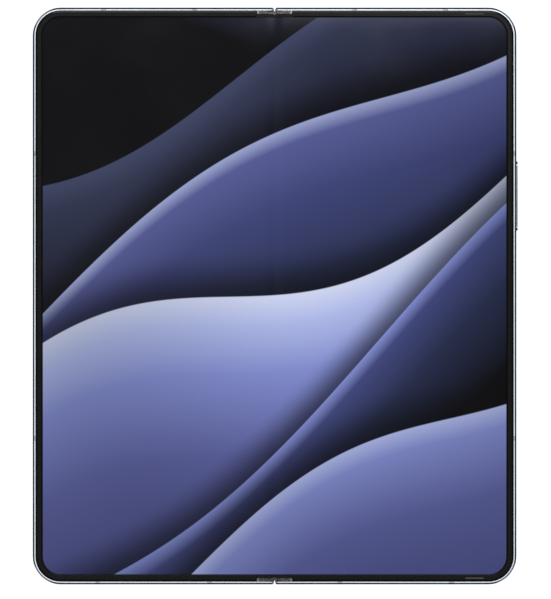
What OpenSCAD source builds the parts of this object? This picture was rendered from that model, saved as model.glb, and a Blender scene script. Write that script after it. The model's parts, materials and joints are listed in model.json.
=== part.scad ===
// Book-style folding phone, laid open on its back: two slim halves joined by a
// geared spine, with one flexible display across both.
// X runs across the fold, Y along it and Z out of the main display.
// The origin is on the surface the phone lies on, under the middle of the fold.

/* [Body] */
// Length of the phone along its fold
phone_l = 154.9; // [140:0.1:175]
// Width of the open phone
phone_w = 129.9; // [120:0.1:150]
// Back plane to the display's surface
body_t = 6.1; // [5.9:0.1:7.5]
// Radius of the four outer corners seen from the front
corner_r = 7.5; // [5:0.5:12]
// Gap between the two halves when open
seam_gap = 0.35; // [0.2:0.05:0.6]
// Rounding of the short end of each half beside the fold
seam_corner_r = 0.5; // [0.2:0.1:0.8]

/* [Frame] */
// Thickness of the side walls below the display
wall_t = 1.7; // [1.4:0.1:2.4]
// Width of the metal edge that shows round the front
front_edge_w = 0.78; // [0.6:0.02:1.2]
// Front edge rounding of the metal frame
front_fillet = 0.7; // [0.3:0.05:0.7]
// Back edge rounding of the metal frame
back_fillet = 0.5; // [0.2:0.05:0.6]
// Height of the metal frame above the back plane, less the body's thickness
frame_rise = 0.05; // [0:0.05:0.2]
// Thickness of the plate between display and battery
mid_plate_t = 0.5; // [0.3:0.05:0.8]
// Width of the metal rim round the back glass
back_rim_w = 0.8; // [0.6:0.05:1.5]

/* [Display] */
// Width of the black border from the outer side to the lit area
border_w = 2.65; // [2.2:0.05:4]
// Height of the raised border above the display
rim_h = 0.55; // [0.3:0.05:0.8]
// Thickness of the flexible display
panel_t = 0.5; // [0.4:0.05:0.8]
// Thickness of the metal sheet behind the display
sheet_t = 0.25; // [0.15:0.05:0.4]
// Half width of the zone that bends
fold_zone = 4.9; // [4.5:0.1:6]
// Rows of slots in the bending metal sheet
lattice_rows = 22; // [8:1:30]

/* [Hinge] */
// Depth of each turning axis under the display's surface
axis_drop = 1.27; // [1.1:0.01:1.5]
// Space between the two raised borders when folded
closed_gap = 0.1; // [0.06:0.02:0.3]
// Height of the spine's underside above the back plane
spine_floor = 0.81; // [0.7:0.01:1.1]
// Wall of the spine cover
spine_wall = 0.5; // [0.4:0.05:0.7]
// Running gap between the spine and the halves
spine_gap = 0.15; // [0.1:0.01:0.25]
// Teeth on each timing gear
gear_teeth = 10; // [8:2:14]
// Pitch diameter of each timing gear
gear_pitch_d = 2.25; // [2.1:0.05:2.3]
// Play between two meshing teeth, on the pitch circle
gear_backlash = 0.06; // [0.04:0.01:0.12]
// Radius of the arm shafts
shaft_r = 0.5; // [0.4:0.05:0.6]
// Running clearance of shafts and curved rails
run_clear = 0.05; // [0.03:0.01:0.08]
// Distance from the middle of the phone to the outer face of each hinge module
module_y = 71; // [60:1:72]
// Width of each curved rail
rail_w = 3; // [2:0.5:4]
// Width of each gear
gear_w = 3.4; // [2:0.2:5]

/* [Rear camera] */
// Height of the camera stack above the back glass
bump_h = 1.3; // [0.8:0.1:2]
// Height of the pill-shaped island alone
island_h = 0.8; // [0.4:0.1:1]
// Width of the island
island_w = 17; // [15:0.5:19]
// Distance between neighbouring lenses
lens_pitch = 15.5; // [14.5:0.5:17]
// Outer radius of a lens ring
lens_r = 6.6; // [5:0.1:7]

/* [Keys and ports] */
// Length of the volume key
volume_l = 18.65; // [14:0.05:24]
// Middle of the volume key above the phone's middle
volume_y = 26.9; // [20:0.1:35]
// How far the volume key stands out
volume_out = 0.45; // [0.3:0.05:0.7]
// Length of the side key
side_l = 12.9; // [10:0.1:16]
// Middle of the side key above the phone's middle
side_y = 4.6; // [0:0.1:10]
// Height of both keys
key_h = 2.2; // [1.8:0.1:2.8]
// Travel of the side key
key_travel = 0.25; // [0.15:0.05:0.4]
// Width of the charging socket's shell
port_w = 8.94; // [8.94:0.01:9]
// Height of the charging socket's shell
port_h = 3.16; // [3.16:0.01:3.3]
// Length of the card tray's cap
tray_l = 15; // [14:0.5:18]
// Depth of the card tray
tray_d = 17; // [14:0.5:20]

/* [Hidden] */
$fn = 64;
eps = 0.01;
// Clearance between pieces glued or screwed together
fit = 0.05;
// Clearance round keys and the card tray
key_clear = 0.12;

half_l = phone_l / 2;
half_w = phone_w / 2;
seam_x = seam_gap / 2;
corner_x = half_w - corner_r;
corner_y = half_l - corner_r;
back_z = bump_h;

// Levels above the back plane
glass_t = 0.55;
glass_seat = glass_t + fit;
cover_panel_top = glass_seat + 0.75;
frame_top = body_t + frame_rise;
rim_top = body_t + rim_h;
panel_z = body_t - panel_t;
sheet_z = panel_z - sheet_t;
mid_top = sheet_z - 2 * fit;
mid_bottom = mid_top - mid_plate_t;
key_z = body_t / 2 - 0.05;

// Turning axes
axis_x = axis_drop + rim_h + closed_gap / 2;
axis_z = body_t - axis_drop;
spine_r = axis_z - spine_floor;
bay_r = spine_r + spine_gap;
lip_t = spine_floor - spine_gap;
// Height that the folded halves uncover the spine to, and the cover's edge above it
spine_cover_lap = 0.45;
spine_edge_z = axis_z + seam_x - axis_x + spine_cover_lap;
spine_in_r = spine_r - spine_wall;
end_gap = 0.12;
spine_l = 2 * (half_l - front_edge_w - end_gap);
end_cap_t = 1;
bay_x = axis_x + bay_r;
hinge_wall_t = 1;
hinge_wall_x = bay_x + hinge_wall_t;

// Gears
gear_r = gear_pitch_d / 2;
gear_m = gear_pitch_d / gear_teeth;
arm_x = 3 * gear_r;
idler_x = gear_r;
gear_z = axis_z - (arm_x - axis_x);
tooth_out = gear_r + 0.8 * gear_m;
tooth_root = gear_r - gear_m;
press_angle = 25;
gear_base_r = gear_r * cos(press_angle);

// Arms, which slide in pockets of the halves as the phone folds
arm_low = 0.5;
arm_t = 0.7;
arm_tip_x = bay_x + 4.4;
arm_slide = arm_x - axis_x;
arm_dip = arm_slide * (sqrt(2) - 1);
pocket_x = arm_tip_x + 0.25;

// Curved rails
rail_in = 2.4;
rail_out = 3.1;
rail_tail = -165;
rail_head = -10;
rail_block_z = spine_edge_z + 0.2;
rail_block_t = mid_bottom - fit - rail_block_z - 0.1;
rail_block_x = arm_tip_x + 0.1;

// Hinge module, from its outer face inwards: rail, rail, gears, springs
cheek = 1;
bay_clear = 0.1;
rail_bay = rail_w + 2 * bay_clear;
gear_bay = gear_w + 2 * bay_clear;
spring_bay = 6;
right_rail_at = cheek;
left_rail_at = right_rail_at + rail_bay + cheek;
gear_at = left_rail_at + rail_bay + cheek;
spring_at = gear_at + gear_bay + cheek;
module_l = spring_at + spring_bay + cheek;

// Display sheets in the fold
centre_half = 1.7;
plate_t = 0.25;
plate_top = sheet_z - fit;
wing_in = centre_half + 0.25;
wing_pivot_x = fold_zone + 0.05;
wing_pin_r = 0.3;
wing_pivot_z = plate_top - wing_pin_r;
wing_y0 = 3;
wing_y1 = module_y - module_l - 0.6;

// Bands that split the metal frame into antennas
band_w = 1.35;
band_top_x = [21.5, 45.9];
band_bottom_x = [17.5, 47.5];
band_side_y = 38.2;

// Battery space
cell_x0 = 12;
cell_x1 = half_w - wall_t - 2.2;
cell_top = mid_bottom - 0.15;

// Lenses
lens_x = half_w - 13.4;
lens_y0 = half_l - 14.5;
lens_ys = [for (i = [0:2]) lens_y0 - i * lens_pitch];
lens_glass_r = lens_r - 1.1;
flash_x = lens_x - island_w / 2 - 5.5;
flash_y = lens_y0 - lens_pitch / 2;
flash_r = 2.4;
cover_lens_x = half_w / 2;
cover_lens_y = half_l - 6.3;
cover_hole_r = 1.9;

port_x = half_w / 2;
port_d = 7.3;
port_z = body_t / 2 - 0.1;
tray_y = -52;
tray_t = 0.75;
tray_cap_h = 2;
tray_z = body_t / 2 - 0.1;

// ---------- shared shapes ----------

// Raises a piece from the back plane's frame to the row's frame
module lift() translate([0, 0, back_z]) children();

module flip() mirror([1, 0, 0]) children();

// Copies a piece to both ends of the phone
module both_ends() {
  children();
  mirror([0, 1, 0]) children();
}

// Extrudes an X-Z profile along Y, from y0 towards +Y
module along_y(y0, l) translate([0, y0 + l, 0]) rotate([90, 0, 0]) linear_extrude(l) children();

module along_y_mid(l) along_y(-l / 2, l) children();

// Plan outline of the right half, inset from its outer sides and starting at x_in
module half_plan(inset, x_in) {
  r = corner_r - inset;
  translate([x_in, -corner_y]) square([half_w - inset - x_in, 2 * corner_y]);
  translate([x_in, inset - half_l]) square([corner_x - x_in, 2 * (half_l - inset)]);
  for (s = [-1, 1]) translate([corner_x, s * corner_y]) circle(r);
}

module half_slab(inset, x_in, z0, t) translate([0, 0, z0]) linear_extrude(t) half_plan(inset, x_in);

// Sweeps a profile round the outer sides of the right half. The profile's x is
// measured from the corner's centre, so corner_r is the outer face.
module round_sides(x_in) {
  module run(l) rotate([90, 0, 0]) linear_extrude(l) children();
  translate([corner_x, corner_y, 0]) {
    rotate_extrude(angle = 90) children();
    run(2 * corner_y) children();
  }
  translate([corner_x, -corner_y, 0]) rotate([0, 0, -90]) {
    rotate_extrude(angle = 90) children();
    run(corner_x - x_in) children();
  }
  translate([x_in, corner_y, 0]) rotate([0, 0, 90]) run(corner_x - x_in) children();
}

// Material to take off a square corner at the origin so that it is rounded
module corner_cut(r) translate([-r, -r]) difference() {
  square([r + eps, r + eps]);
  circle(r);
}

// Pill in the X-Y plane, l long in total along Y
module pill(w, l) {
  square([w, l - w], center = true);
  for (s = [-1, 1]) translate([0, s * (l - w) / 2]) circle(w / 2);
}

module block(x0, x1, y0, y1, z0, z1) translate([x0, y0, z0]) cube([x1 - x0, y1 - y0, z1 - z0]);

module rounded_block(x0, x1, y0, y1, z0, z1, r) translate([0, 0, z0]) linear_extrude(z1 - z0) {
  translate([x0 + r, y0]) square([x1 - x0 - 2 * r, y1 - y0]);
  translate([x0, y0 + r]) square([x1 - x0, y1 - y0 - 2 * r]);
  for (x = [x0 + r, x1 - r], y = [y0 + r, y1 - r]) translate([x, y]) circle(r);
}

// Pie slice from angle a0 to a1, under a half turn
module slice(a0, a1, r) polygon([
  [0, 0],
  for (i = [0:6]) let (a = a0 + i * (a1 - a0) / 6) 1.4 * r * [cos(a), sin(a)]
]);

// ---------- frames ----------

module frame_profile() difference() {
  translate([corner_r - wall_t, 0]) square([wall_t, frame_top]);
  translate([corner_r, frame_top]) corner_cut(front_fillet);
  translate([corner_r, 0]) mirror([0, 1]) corner_cut(back_fillet);
  translate([corner_r - wall_t - eps, -eps]) square([wall_t - back_rim_w + eps, glass_seat + eps]);
  translate([corner_r - wall_t - eps, mid_top]) square([wall_t - front_edge_w + eps, body_t]);
}

// X-Z profile of the space that the spine needs in the right half
module spine_bay_profile() {
  translate([-1, lip_t]) square([axis_x + 1, body_t]);
  intersection() {
    translate([axis_x, axis_z]) circle(bay_r);
    translate([0, 0]) square([bay_x + 1, mid_bottom]);
  }
  translate([-1, axis_z - 0.3]) square([fold_zone + 0.1 + 1, body_t]);
}

// Half-round seats for the wing plates' pins, in the ledge beside the fold
module wing_seats() both_ends() along_y(wing_y0 - 0.15, wing_y1 - wing_y0 + 0.3)
  translate([wing_pivot_x, wing_pivot_z]) circle(wing_pin_r + run_clear);

// Ribbed metal ledge at each end of the fold, with a post beside the border. It keeps
// to the outer side of the turning axis, so it swings up clear of the spine.
ledge_z = axis_z + 0.1;
ledge_top = body_t - 0.2;
ledge_end = fold_zone - 0.1;
rib_pitch = 0.6;
module end_ledges() both_ends() {
  along_y(half_l - seal_in + 0.04, seal_in - 0.04 - front_edge_w + eps) difference() {
    translate([axis_x, ledge_z]) square([ledge_end - axis_x, ledge_top - ledge_z]);
    for (x = [ledge_end - 1.1 : -rib_pitch : axis_x]) translate([x, ledge_top - 0.3]) square([0.25, 1]);
  }
  block(ledge_end - 0.45, ledge_end, half_l - seal_in + 0.1, half_l - front_edge_w + eps,
    ledge_z, body_t + 0.2);
}

// X-Z profile cut from the half's end, so that the two ends roll past each other
module roll_cut_profile() difference() {
  translate([-1, axis_z]) square([axis_x + 1, body_t]);
  translate([axis_x, axis_z]) circle(axis_x - seam_x);
}

// Pockets for one hinge module's rails and arms in the right half
module hinge_pockets(rail_at) both_ends() {
  translate([0, module_y, 0]) mirror([0, 1, 0]) {
    block(bay_x - 0.4, rail_block_x + fit, rail_at, rail_at + rail_bay, rail_block_z - fit, mid_bottom);
    block(bay_x - 0.4, pocket_x, gear_at, gear_at + gear_bay, gear_z + arm_low - arm_dip - 0.1, mid_bottom);
  }
}

module band_cuts() {
  depth = wall_t + 0.6;
  module cut(x0, x1, y0, y1) block(x0, x1, y0, y1, -1, body_t + 1);
  for (x = band_top_x) cut(x - band_w / 2, x + band_w / 2, half_l - depth, half_l + 1);
  for (x = band_bottom_x) cut(x - band_w / 2, x + band_w / 2, -half_l - 1, depth - half_l);
  for (y = [-band_side_y, band_side_y]) cut(half_w - depth, half_w + 1, y - band_w / 2, y + band_w / 2);
}

// Metal of a plain right half, before its keys, ports and antenna cuts
module half_metal(rail_at) difference() {
  union() {
    round_sides(seam_x) frame_profile();
    // Plate behind the display
    half_slab(wall_t - 0.2, bay_x, mid_bottom, mid_plate_t);
    intersection() {
      half_slab(back_rim_w - 0.05, seam_x, 0, mid_top);
      union() {
        // Lip that covers the spine from behind, and the wall beside it
        block(seam_x, glass_x0 - fit, -half_l, half_l, 0, axis_z);
        block(seam_x, hinge_wall_x, -half_l, half_l, glass_seat, mid_top);
        // Bosses that hold the rails and guide the arms
        both_ends() block(hinge_wall_x - eps, pocket_x + 0.6, module_y - module_l, module_y + 1,
          cover_panel_top + 0.1, mid_top);
      }
    }
  }
  along_y_mid(2 * (half_l - front_edge_w)) spine_bay_profile();
  along_y_mid(phone_l + 2) roll_cut_profile();
  hinge_pockets(rail_at);
  wing_seats();
  flex_slots();
  // Rounded short ends beside the fold
  both_ends() translate([seam_x, half_l, -1]) mirror([1, 0, 0])
    linear_extrude(body_t + 2) corner_cut(seam_corner_r);
}

glass_x0 = bay_x - 1.5;

// Through slot in the right wall, pill shaped, centred at y, z
module wall_pill(y, z, l, h, depth) translate([half_w + 1, y, z]) rotate([0, -90, 0])
  linear_extrude(depth + 1) pill(h, l);

module hole_row(x0, n, pitch, r, side) for (i = [0:n - 1])
  translate([x0 + i * pitch, side * (half_l + 1), body_t / 2 - 0.1])
    rotate([side * 90, 0, 0]) cylinder(r = r, h = wall_t + 2);

module right_frame() color("lightsteelblue") difference() {
  union() {
    half_metal(right_rail_at);
    end_ledges();
    bosses(right_boss);
  }
  band_cuts();
  // Volume key and side key
  wall_pill(volume_y, key_z, volume_l + 2 * key_clear, key_h + 2 * key_clear, wall_t + eps);
  wall_pill(side_y, key_z, side_l + 2 * key_clear, key_h + 2 * key_clear, wall_t + eps);
  // Shallow dish round the side key
  wall_pill(side_y, key_z, side_l + 1.6, key_h + 1, 0.12);
  // Charging socket
  translate([port_x, eps - half_l + wall_t + 2.6, port_z]) rotate([90, 0, 0])
    linear_extrude(wall_t + 4) rotate(90) pill(port_h + 2 * fit, port_w + 2 * fit);
  // Speaker holes beside the socket, and microphone holes
  hole_row(speaker_x0 + 1.3, 4, speaker_pitch, 0.55, -1);
  hole_row(port_x - 8.5, 1, 1, 0.35, -1);
  hole_row(port_x - 2, 1, 1, 0.35, 1);
  // Window for the under-display camera
  translate([inner_cam_x, inner_cam_y, mid_bottom - 1]) cylinder(r = inner_cam_r + 0.2, h = 3);
  // Window for the display's connector
  rounded_block(30, 46, -63, -58, mid_bottom - 1, mid_top + 1, 1);
  boss_holes(right_boss);
}

module left_frame() color("lightsteelblue") flip() difference() {
  union() {
    half_metal(left_rail_at);
    end_ledges();
    bosses(left_boss);
  }
  band_cuts();
  // Card tray slot
  wall_pill(tray_y, tray_z, tray_l + 2 * key_clear, tray_cap_h + 2 * key_clear, wall_t + eps);
  // Speaker holes and microphone holes
  hole_row(speaker_x0 + 1.3, 4, speaker_pitch, 0.55, 1);
  hole_row(port_x - 14, 1, 1, 0.35, 1);
  hole_row(port_x - 4, 1, 1, 0.35, -1);
  rounded_block(30, 46, -64, -59, mid_bottom - 1, mid_top + 1, 1);
  boss_holes(left_boss);
}

module antenna_bands() intersection() {
  round_sides(seam_x) frame_profile();
  band_cuts();
}

module right_antenna_bands() color("slategray") antenna_bands();

module left_antenna_bands() color("slategray") flip() antenna_bands();

// ---------- raised border and display ----------

// Border profile, with x measured as in round_sides
rim_out = front_edge_w + fit;
rim_step = border_w - 0.75;
module rim_profile() translate([corner_r, 0]) mirror([1, 0]) polygon([
  [rim_out, mid_top + fit], [rim_step, mid_top + fit], [rim_step, body_t + fit / 2],
  [border_w, body_t + fit / 2], [border_w, rim_top - 0.3], [border_w - 0.3, rim_top],
  [rim_out + 0.5, rim_top], [rim_out, rim_top - 0.35]
]);

module half_bezel() round_sides(fold_zone) rim_profile();

bumper_l = 5;
bumper_w = 0.36;
bumper_x = half_w - 11.3;
bumper_in = 1.75;
module bumper_seats(grow, z0, h) both_ends() translate([bumper_x, half_l - bumper_in, z0])
  linear_extrude(h) rotate(90) pill(bumper_w + 2 * grow, bumper_l + 2 * grow);

module right_bezel() color("#1c1c1e") difference() {
  half_bezel();
  bumper_seats(0.02, rim_top - 0.3, 1);
}

module left_bezel() color("#1c1c1e") flip() half_bezel();

// The rubber stands a little proud of the border
module closing_bumpers() color("dimgray") bumper_seats(0, rim_top - 0.28, 0.3);

panel_inset = rim_step + fit;
module main_display_right() color("#3c4a86") half_slab(panel_inset, fold_zone, panel_z, panel_t);
module main_display_left() color("#20222c") flip() half_slab(panel_inset, fold_zone, panel_z, panel_t);

inner_cam_x = half_w / 2 + 1;
inner_cam_y = half_l - 8;
inner_cam_r = 1.9;
module backplate(holes) color("silver") difference() {
  half_slab(panel_inset + 0.3, fold_zone, sheet_z, sheet_t);
  for (p = holes) translate([p.x, p.y, 0]) cylinder(r = p[2], h = body_t);
}
module display_backplate_right() backplate([[inner_cam_x, inner_cam_y, inner_cam_r]]);
module display_backplate_left() flip() backplate([]);

// Bending strip of the display, with its slotted metal sheet under it
module fold_strip() {
  l = 2 * (half_l - panel_inset);
  slot_l = l / lattice_rows - 1.2;
  slot_w = 0.35;
  color("#15151a") block(0, fold_zone, -l / 2, l / 2, panel_z, body_t);
  color("silver") difference() {
    block(0, fold_zone, -l / 2 + 0.3, l / 2 - 0.3, sheet_z, panel_z);
    for (c = [0:4], i = [0:lattice_rows - 1 - c % 2]) {
      y = -l / 2 + (i + 0.5 + (c % 2) / 2) * l / lattice_rows;
      x = 0.55 + c * 0.9;
      block(x - slot_w / 2, x + slot_w / 2, y - slot_l / 2, y + slot_l / 2, 0, body_t);
    }
  }
}
module display_fold_right() fold_strip();
module display_fold_left() flip() fold_strip();

// Soft film over each end of the bending strip, notched at the fold line
seal_in = 1.72;
module fold_seals() color("#242426") both_ends() {
  y1 = half_l - border_w - 0.05;
  y2 = half_l - seal_in;
  notch = 0.45;
  translate([0, 0, body_t + fit / 2]) linear_extrude(0.25) polygon([
    [0.03, y1], [fold_zone - fit, y1], [fold_zone - fit, y2], [notch, y2], [0.03, y2 - notch - 0.2]
  ]);
}
module fold_seals_right() fold_seals();
module fold_seals_left() flip() fold_seals();

// ---------- back covers and cameras ----------

module back_pane(x_in) half_slab(back_rim_w + fit, x_in, 0, glass_t);

module island_plan(grow) translate([lens_x, lens_ys[1]])
  pill(island_w + 2 * grow, 2 * lens_pitch + island_w + 2 * grow);

module rear_glass() color("#b9c9de") difference() {
  back_pane(glass_x0);
  translate([0, 0, -1]) linear_extrude(2) island_plan(fit);
  translate([flash_x, flash_y, -1]) cylinder(r = flash_r + fit, h = 2);
}

module camera_island() color("#9fb0c8") difference() {
  translate([0, 0, -island_h]) linear_extrude(island_h + glass_t) island_plan(0);
  for (y = lens_ys) translate([lens_x, y, -2]) cylinder(r = lens_r - 0.45, h = 4);
}

// Ring with a stepped bore that holds the lens glass
module camera_lens_rings() color("silver") for (y = lens_ys) translate([lens_x, y, 0]) rotate_extrude()
  polygon([
    [lens_glass_r + fit, -bump_h + 0.15], [lens_glass_r + 0.2, -bump_h], [lens_r - 0.3, -bump_h],
    [lens_r, -bump_h + 0.3], [lens_r, -island_h], [lens_r - 0.5, -island_h],
    [lens_r - 0.5, glass_t], [lens_glass_r - 0.6, glass_t], [lens_glass_r - 0.6, -bump_h + 0.85],
    [lens_glass_r + fit, -bump_h + 0.85]
  ]);

module camera_lens_glasses() color("#101218") for (y = lens_ys)
  translate([lens_x, y, -bump_h + 0.15]) cylinder(r = lens_glass_r, h = 0.65);

// Each module: square actuator, round barrel and front element
module camera_modules() for (y = lens_ys) translate([lens_x, y, 0]) {
  color("#1a1a1c") difference() {
    translate([-5, -5, 0.8]) cube([10, 10, cell_top - 0.8]);
    translate([0, 0, 0.7]) cylinder(r = 4, h = 1.2);
  }
  color("#2a2a30") difference() {
    translate([0, 0, -0.35]) cylinder(r = 3.6, h = 2.2);
    translate([0, 0, -0.36]) cylinder(r1 = 2.6, r2 = 1.4, h = 0.9);
  }
}

module flash_lens() color("ivory") translate([flash_x, flash_y, 0]) cylinder(r = flash_r, h = glass_t);

module cover_glass() color("#0c0c0f") flip() difference() {
  back_pane(glass_x0);
  // Slit for the earpiece at the top edge
  translate([half_w / 2, half_l - back_rim_w - fit, -1]) linear_extrude(2) rotate(90) pill(0.7, 12);
}

module cover_display() color("#18181d") flip() difference() {
  half_slab(back_rim_w + 1.5, hinge_wall_x + 0.1, glass_seat, cover_panel_top - glass_seat);
  translate([cover_lens_x, cover_lens_y, 0]) cylinder(r = cover_hole_r, h = 2);
}

module cover_camera() color("#141418") flip() translate([cover_lens_x, cover_lens_y, 0]) {
  translate([0, 0, glass_seat]) cylinder(r = 1.6, h = 0.9);
  translate([-3, -3, glass_seat + 0.85]) cube([6, 6, cell_top - glass_seat - 0.95]);
}

module inner_camera() color("#141418") translate([inner_cam_x, inner_cam_y, 0]) {
  translate([0, 0, mid_bottom - 0.6]) cylinder(r = inner_cam_r - 0.1, h = panel_z - mid_bottom + 0.5);
  translate([-3, -3, 1.6]) cube([6, 6, mid_bottom - 2.2]);
}

// ---------- inside the halves ----------

right_cell = [-50, 2];
left_cell = [-38, 44];
coil_r = 21;
coil_z = glass_seat + 0.05;
coil_t = 0.35;
cell_z = coil_z + coil_t + 0.05;

module battery(y0, y1, z0) {
  color("#2b2b2e") rounded_block(cell_x0, cell_x1, y0, y1, z0, cell_top, 1.5);
  color("goldenrod") block(cell_x0 + 8, cell_x0 + 20, y1, y1 + 1.2, z0 + 1, z0 + 1.5);
}
module right_battery() battery(right_cell[0], right_cell[1], cell_z);
module left_battery() flip() battery(left_cell[0], left_cell[1], glass_seat + 0.9);

// Flat winding for wireless charging, on its ferrite sheet
module charging_coil() translate([(cell_x0 + cell_x1) / 2, (right_cell[0] + right_cell[1]) / 2, coil_z]) {
  color("peru") for (i = [0:5]) difference() {
    cylinder(r = coil_r - 1.9 * i, h = coil_t * 0.6);
    translate([0, 0, -1]) cylinder(r = coil_r - 1.9 * i - 1.4, h = 3);
  }
  color("#333336") translate([0, 0, coil_t * 0.6]) cylinder(r = coil_r + 1, h = coil_t * 0.4);
}

board_z = 2.6;
board_t = 0.7;
board_top = board_z + board_t;
boss_r = 1.5;
screw_r = 0.6;
right_boss = [[15, 8], [36, 8], [15, 70], [36, 62], [15, -54], [34, -54]];
left_boss = [[15, 48], [34, 48], [15, -42], [44, -42], [15, -72], [44, -72]];

// Hollow bosses under the middle plate that the boards are screwed to
module bosses(places) for (p = places) translate([p.x, p.y, board_top + fit])
  cylinder(r = boss_r, h = mid_bottom - board_top);
module boss_holes(places) for (p = places) translate([p.x, p.y, board_top - 1])
  cylinder(r = screw_r + 0.02, h = mid_bottom - board_top + 1);
module board_holes(places) for (p = places) translate([p.x, p.y, 0]) cylinder(r = screw_r + 0.15, h = 5);

// Main board with its tongue beside the cameras, and the small board behind the charging socket
module right_circuit_boards() color("darkgreen") difference() {
  union() {
    block(cell_x0 + 0.5, lens_x - 5.6, right_cell[1] + 3.5, half_l - 4, board_z, board_top);
    block(lens_x - 6, cell_x1, right_cell[1] + 3.5, lens_ys[2] - 5.6, board_z, board_top);
    block(cell_x0 + 0.5, port_x + 5, -61, right_cell[0] - 1, board_z, board_top);
  }
  board_holes(right_boss);
  translate([inner_cam_x, inner_cam_y, 0]) cube([6.4, 6.4, 12], center = true);
  translate([flash_x, flash_y, 0]) cylinder(r = flash_r + 0.3, h = 5);
}

module left_circuit_board() color("darkgreen") flip() difference() {
  union() {
    block(cell_x0 + 0.5, half_w - tray_d - 2, -half_l + 4, left_cell[0] - 1, board_z, board_top);
    block(cell_x0 + 0.5, port_x + 4.5, left_cell[1] + 2.2, 52, board_z, board_top);
  }
  board_holes(left_boss);
}

module shield(x0, x1, y0, y1) difference() {
  block(x0, x1, y0, y1, board_top, cell_top - 0.1);
  block(x0 + 0.2, x1 - 0.2, y0 + 0.2, y1 - 0.2, board_top - 1, cell_top - 0.3);
}
module board_shields() color("silver") {
  shield(cell_x0 + 5.5, cell_x0 + 24, 10, 32);
  shield(cell_x0 + 5.5, cell_x0 + 16, 34, 64);
  shield(cell_x0 + 18, cell_x0 + 27, 34, 52);
}

module usb_port() translate([port_x, -half_l + wall_t + port_d - 1.4, port_z]) rotate([90, 0, 0]) {
  shell = 0.3;
  color("silver") difference() {
    linear_extrude(port_d) rotate(90) pill(port_h, port_w);
    translate([0, 0, shell]) linear_extrude(port_d) rotate(90) pill(port_h - 2 * shell, port_w - 2 * shell);
  }
  color("#222226") translate([-3.35, -0.35, shell]) cube([6.7, 0.7, port_d - 2]);
}

// Speakers: the bottom one in the right half, the top one in the left half
speaker_x0 = port_x + port_w / 2 + 1;
speaker_x1 = corner_x + 1.8;
speaker_y = -half_l + wall_t + 0.4;
speaker_pitch = 1.9;
module speaker_mouth(y0) translate([speaker_x0 + 0.5, y0, body_t / 2 - 0.7]) cube([12, wall_t + 2.5, 1.2]);
module bottom_speaker() color("#26262a") difference() {
  rounded_block(speaker_x0, speaker_x1, speaker_y, -58, 1, cell_top, 1);
  speaker_mouth(-half_l);
}

module top_speaker() color("#26262a") flip() {
  difference() {
    rounded_block(speaker_x0, speaker_x1, 54, -speaker_y, cover_panel_top + 0.1, cell_top, 1);
    speaker_mouth(half_l - wall_t - 2.5);
  }
}

module vibration_motor() color("silver") rounded_block(14, 24, -70, -61, 1.2, cell_top - 0.2, 0.5);

// Dome switches on a strip behind the two keys, clear of them until they are pressed
tab_gap = 0.1;
nub_t = 0.2;
dome_t = 0.3;
dome_gap = 0.05;
switch_x = half_w - wall_t - tab_gap - 0.1 - nub_t - key_travel - dome_gap - dome_t;
module key_switches() {
  color("goldenrod") block(switch_x - 0.3, switch_x, side_y - side_l / 2, volume_y + volume_l / 2,
    key_z - 1.2, key_z + 1.2);
  color("silver") for (y = concat([side_y], volume_presses))
    translate([switch_x - eps, y, key_z]) rotate([0, 90, 0]) cylinder(r = 1.1, h = dome_t + eps);
}

// ---------- keys and tray ----------

// Key cap; its press face is at x = out beyond the side. The two tabs behind the
// wall keep it in, and each nub in presses lies over a switch.
tab_l = 5;
module key_body(y, l, out, presses) color("lightsteelblue") {
  cap_in = half_w - wall_t - tab_gap - 0.1;
  face = 0.12;
  translate([cap_in, y, key_z]) rotate([0, 90, 0])
    linear_extrude(half_w + out - cap_in - face) pill(key_h, l);
  translate([half_w + out - face - eps, y, key_z]) rotate([0, 90, 0])
    linear_extrude(face + eps) pill(key_h - 2 * face, l - 2 * face);
  block(cap_in, half_w - wall_t - tab_gap, y - tab_l / 2, y + tab_l / 2,
    key_z - key_h / 2 - 0.5, key_z + key_h / 2 + 0.5);
  for (p = presses) translate([cap_in - nub_t, p, key_z]) rotate([0, 90, 0])
    cylinder(r = 0.7, h = nub_t + eps);
}
volume_presses = [volume_y - 6, volume_y + 6];
module volume_key() key_body(volume_y, volume_l, volume_out, volume_presses);
module side_key() key_body(side_y, side_l, 0.08, [side_y]);

card_l = 12.3;
card_w = 8.8;
module sim_tray() flip() difference() {
  union() {
    color("lightsteelblue") translate([half_w - wall_t, tray_y, tray_z]) rotate([0, 90, 0])
      linear_extrude(wall_t) pill(tray_cap_h, tray_l);
    color("#303034") block(half_w - tray_d, half_w - wall_t + 0.1, tray_y - tray_l / 2 + 0.6,
      tray_y + tray_l / 2 - 0.6, tray_z - tray_t / 2, tray_z + tray_t / 2);
  }
  // Card seats on both faces, and the pin hole for ejecting
  for (s = [-1, 1]) translate([half_w - tray_d + 1.2, tray_y - card_l / 2, tray_z + (s > 0 ? 0.1 : -1.1)])
    cube([card_w, card_l, 1]);
  translate([half_w - wall_t - 1.5, tray_y - tray_l / 2 + 2.2, tray_z]) rotate([0, 90, 0])
    cylinder(r = 0.4, h = 5);
}

module sim_socket() color("silver") flip() difference() {
  block(half_w - tray_d - 1.2, half_w - wall_t - 0.6, tray_y - tray_l / 2 - 0.3, tray_y + tray_l / 2 + 0.3,
    tray_z - 0.75, tray_z + 0.75);
  block(half_w - tray_d - 0.4, half_w, tray_y - tray_l / 2 + 0.4, tray_y + tray_l / 2 - 0.4,
    tray_z - 0.5, tray_z + 0.5);
}

magnet_x = half_w - wall_t - 1.9;
module magnet(y0) block(magnet_x, magnet_x + 1.5, y0, y0 + 16, 2, 4.2);
module right_magnets() color("gray") magnet(-46);
module left_magnets() color("gray") flip() magnet(-36);

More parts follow.
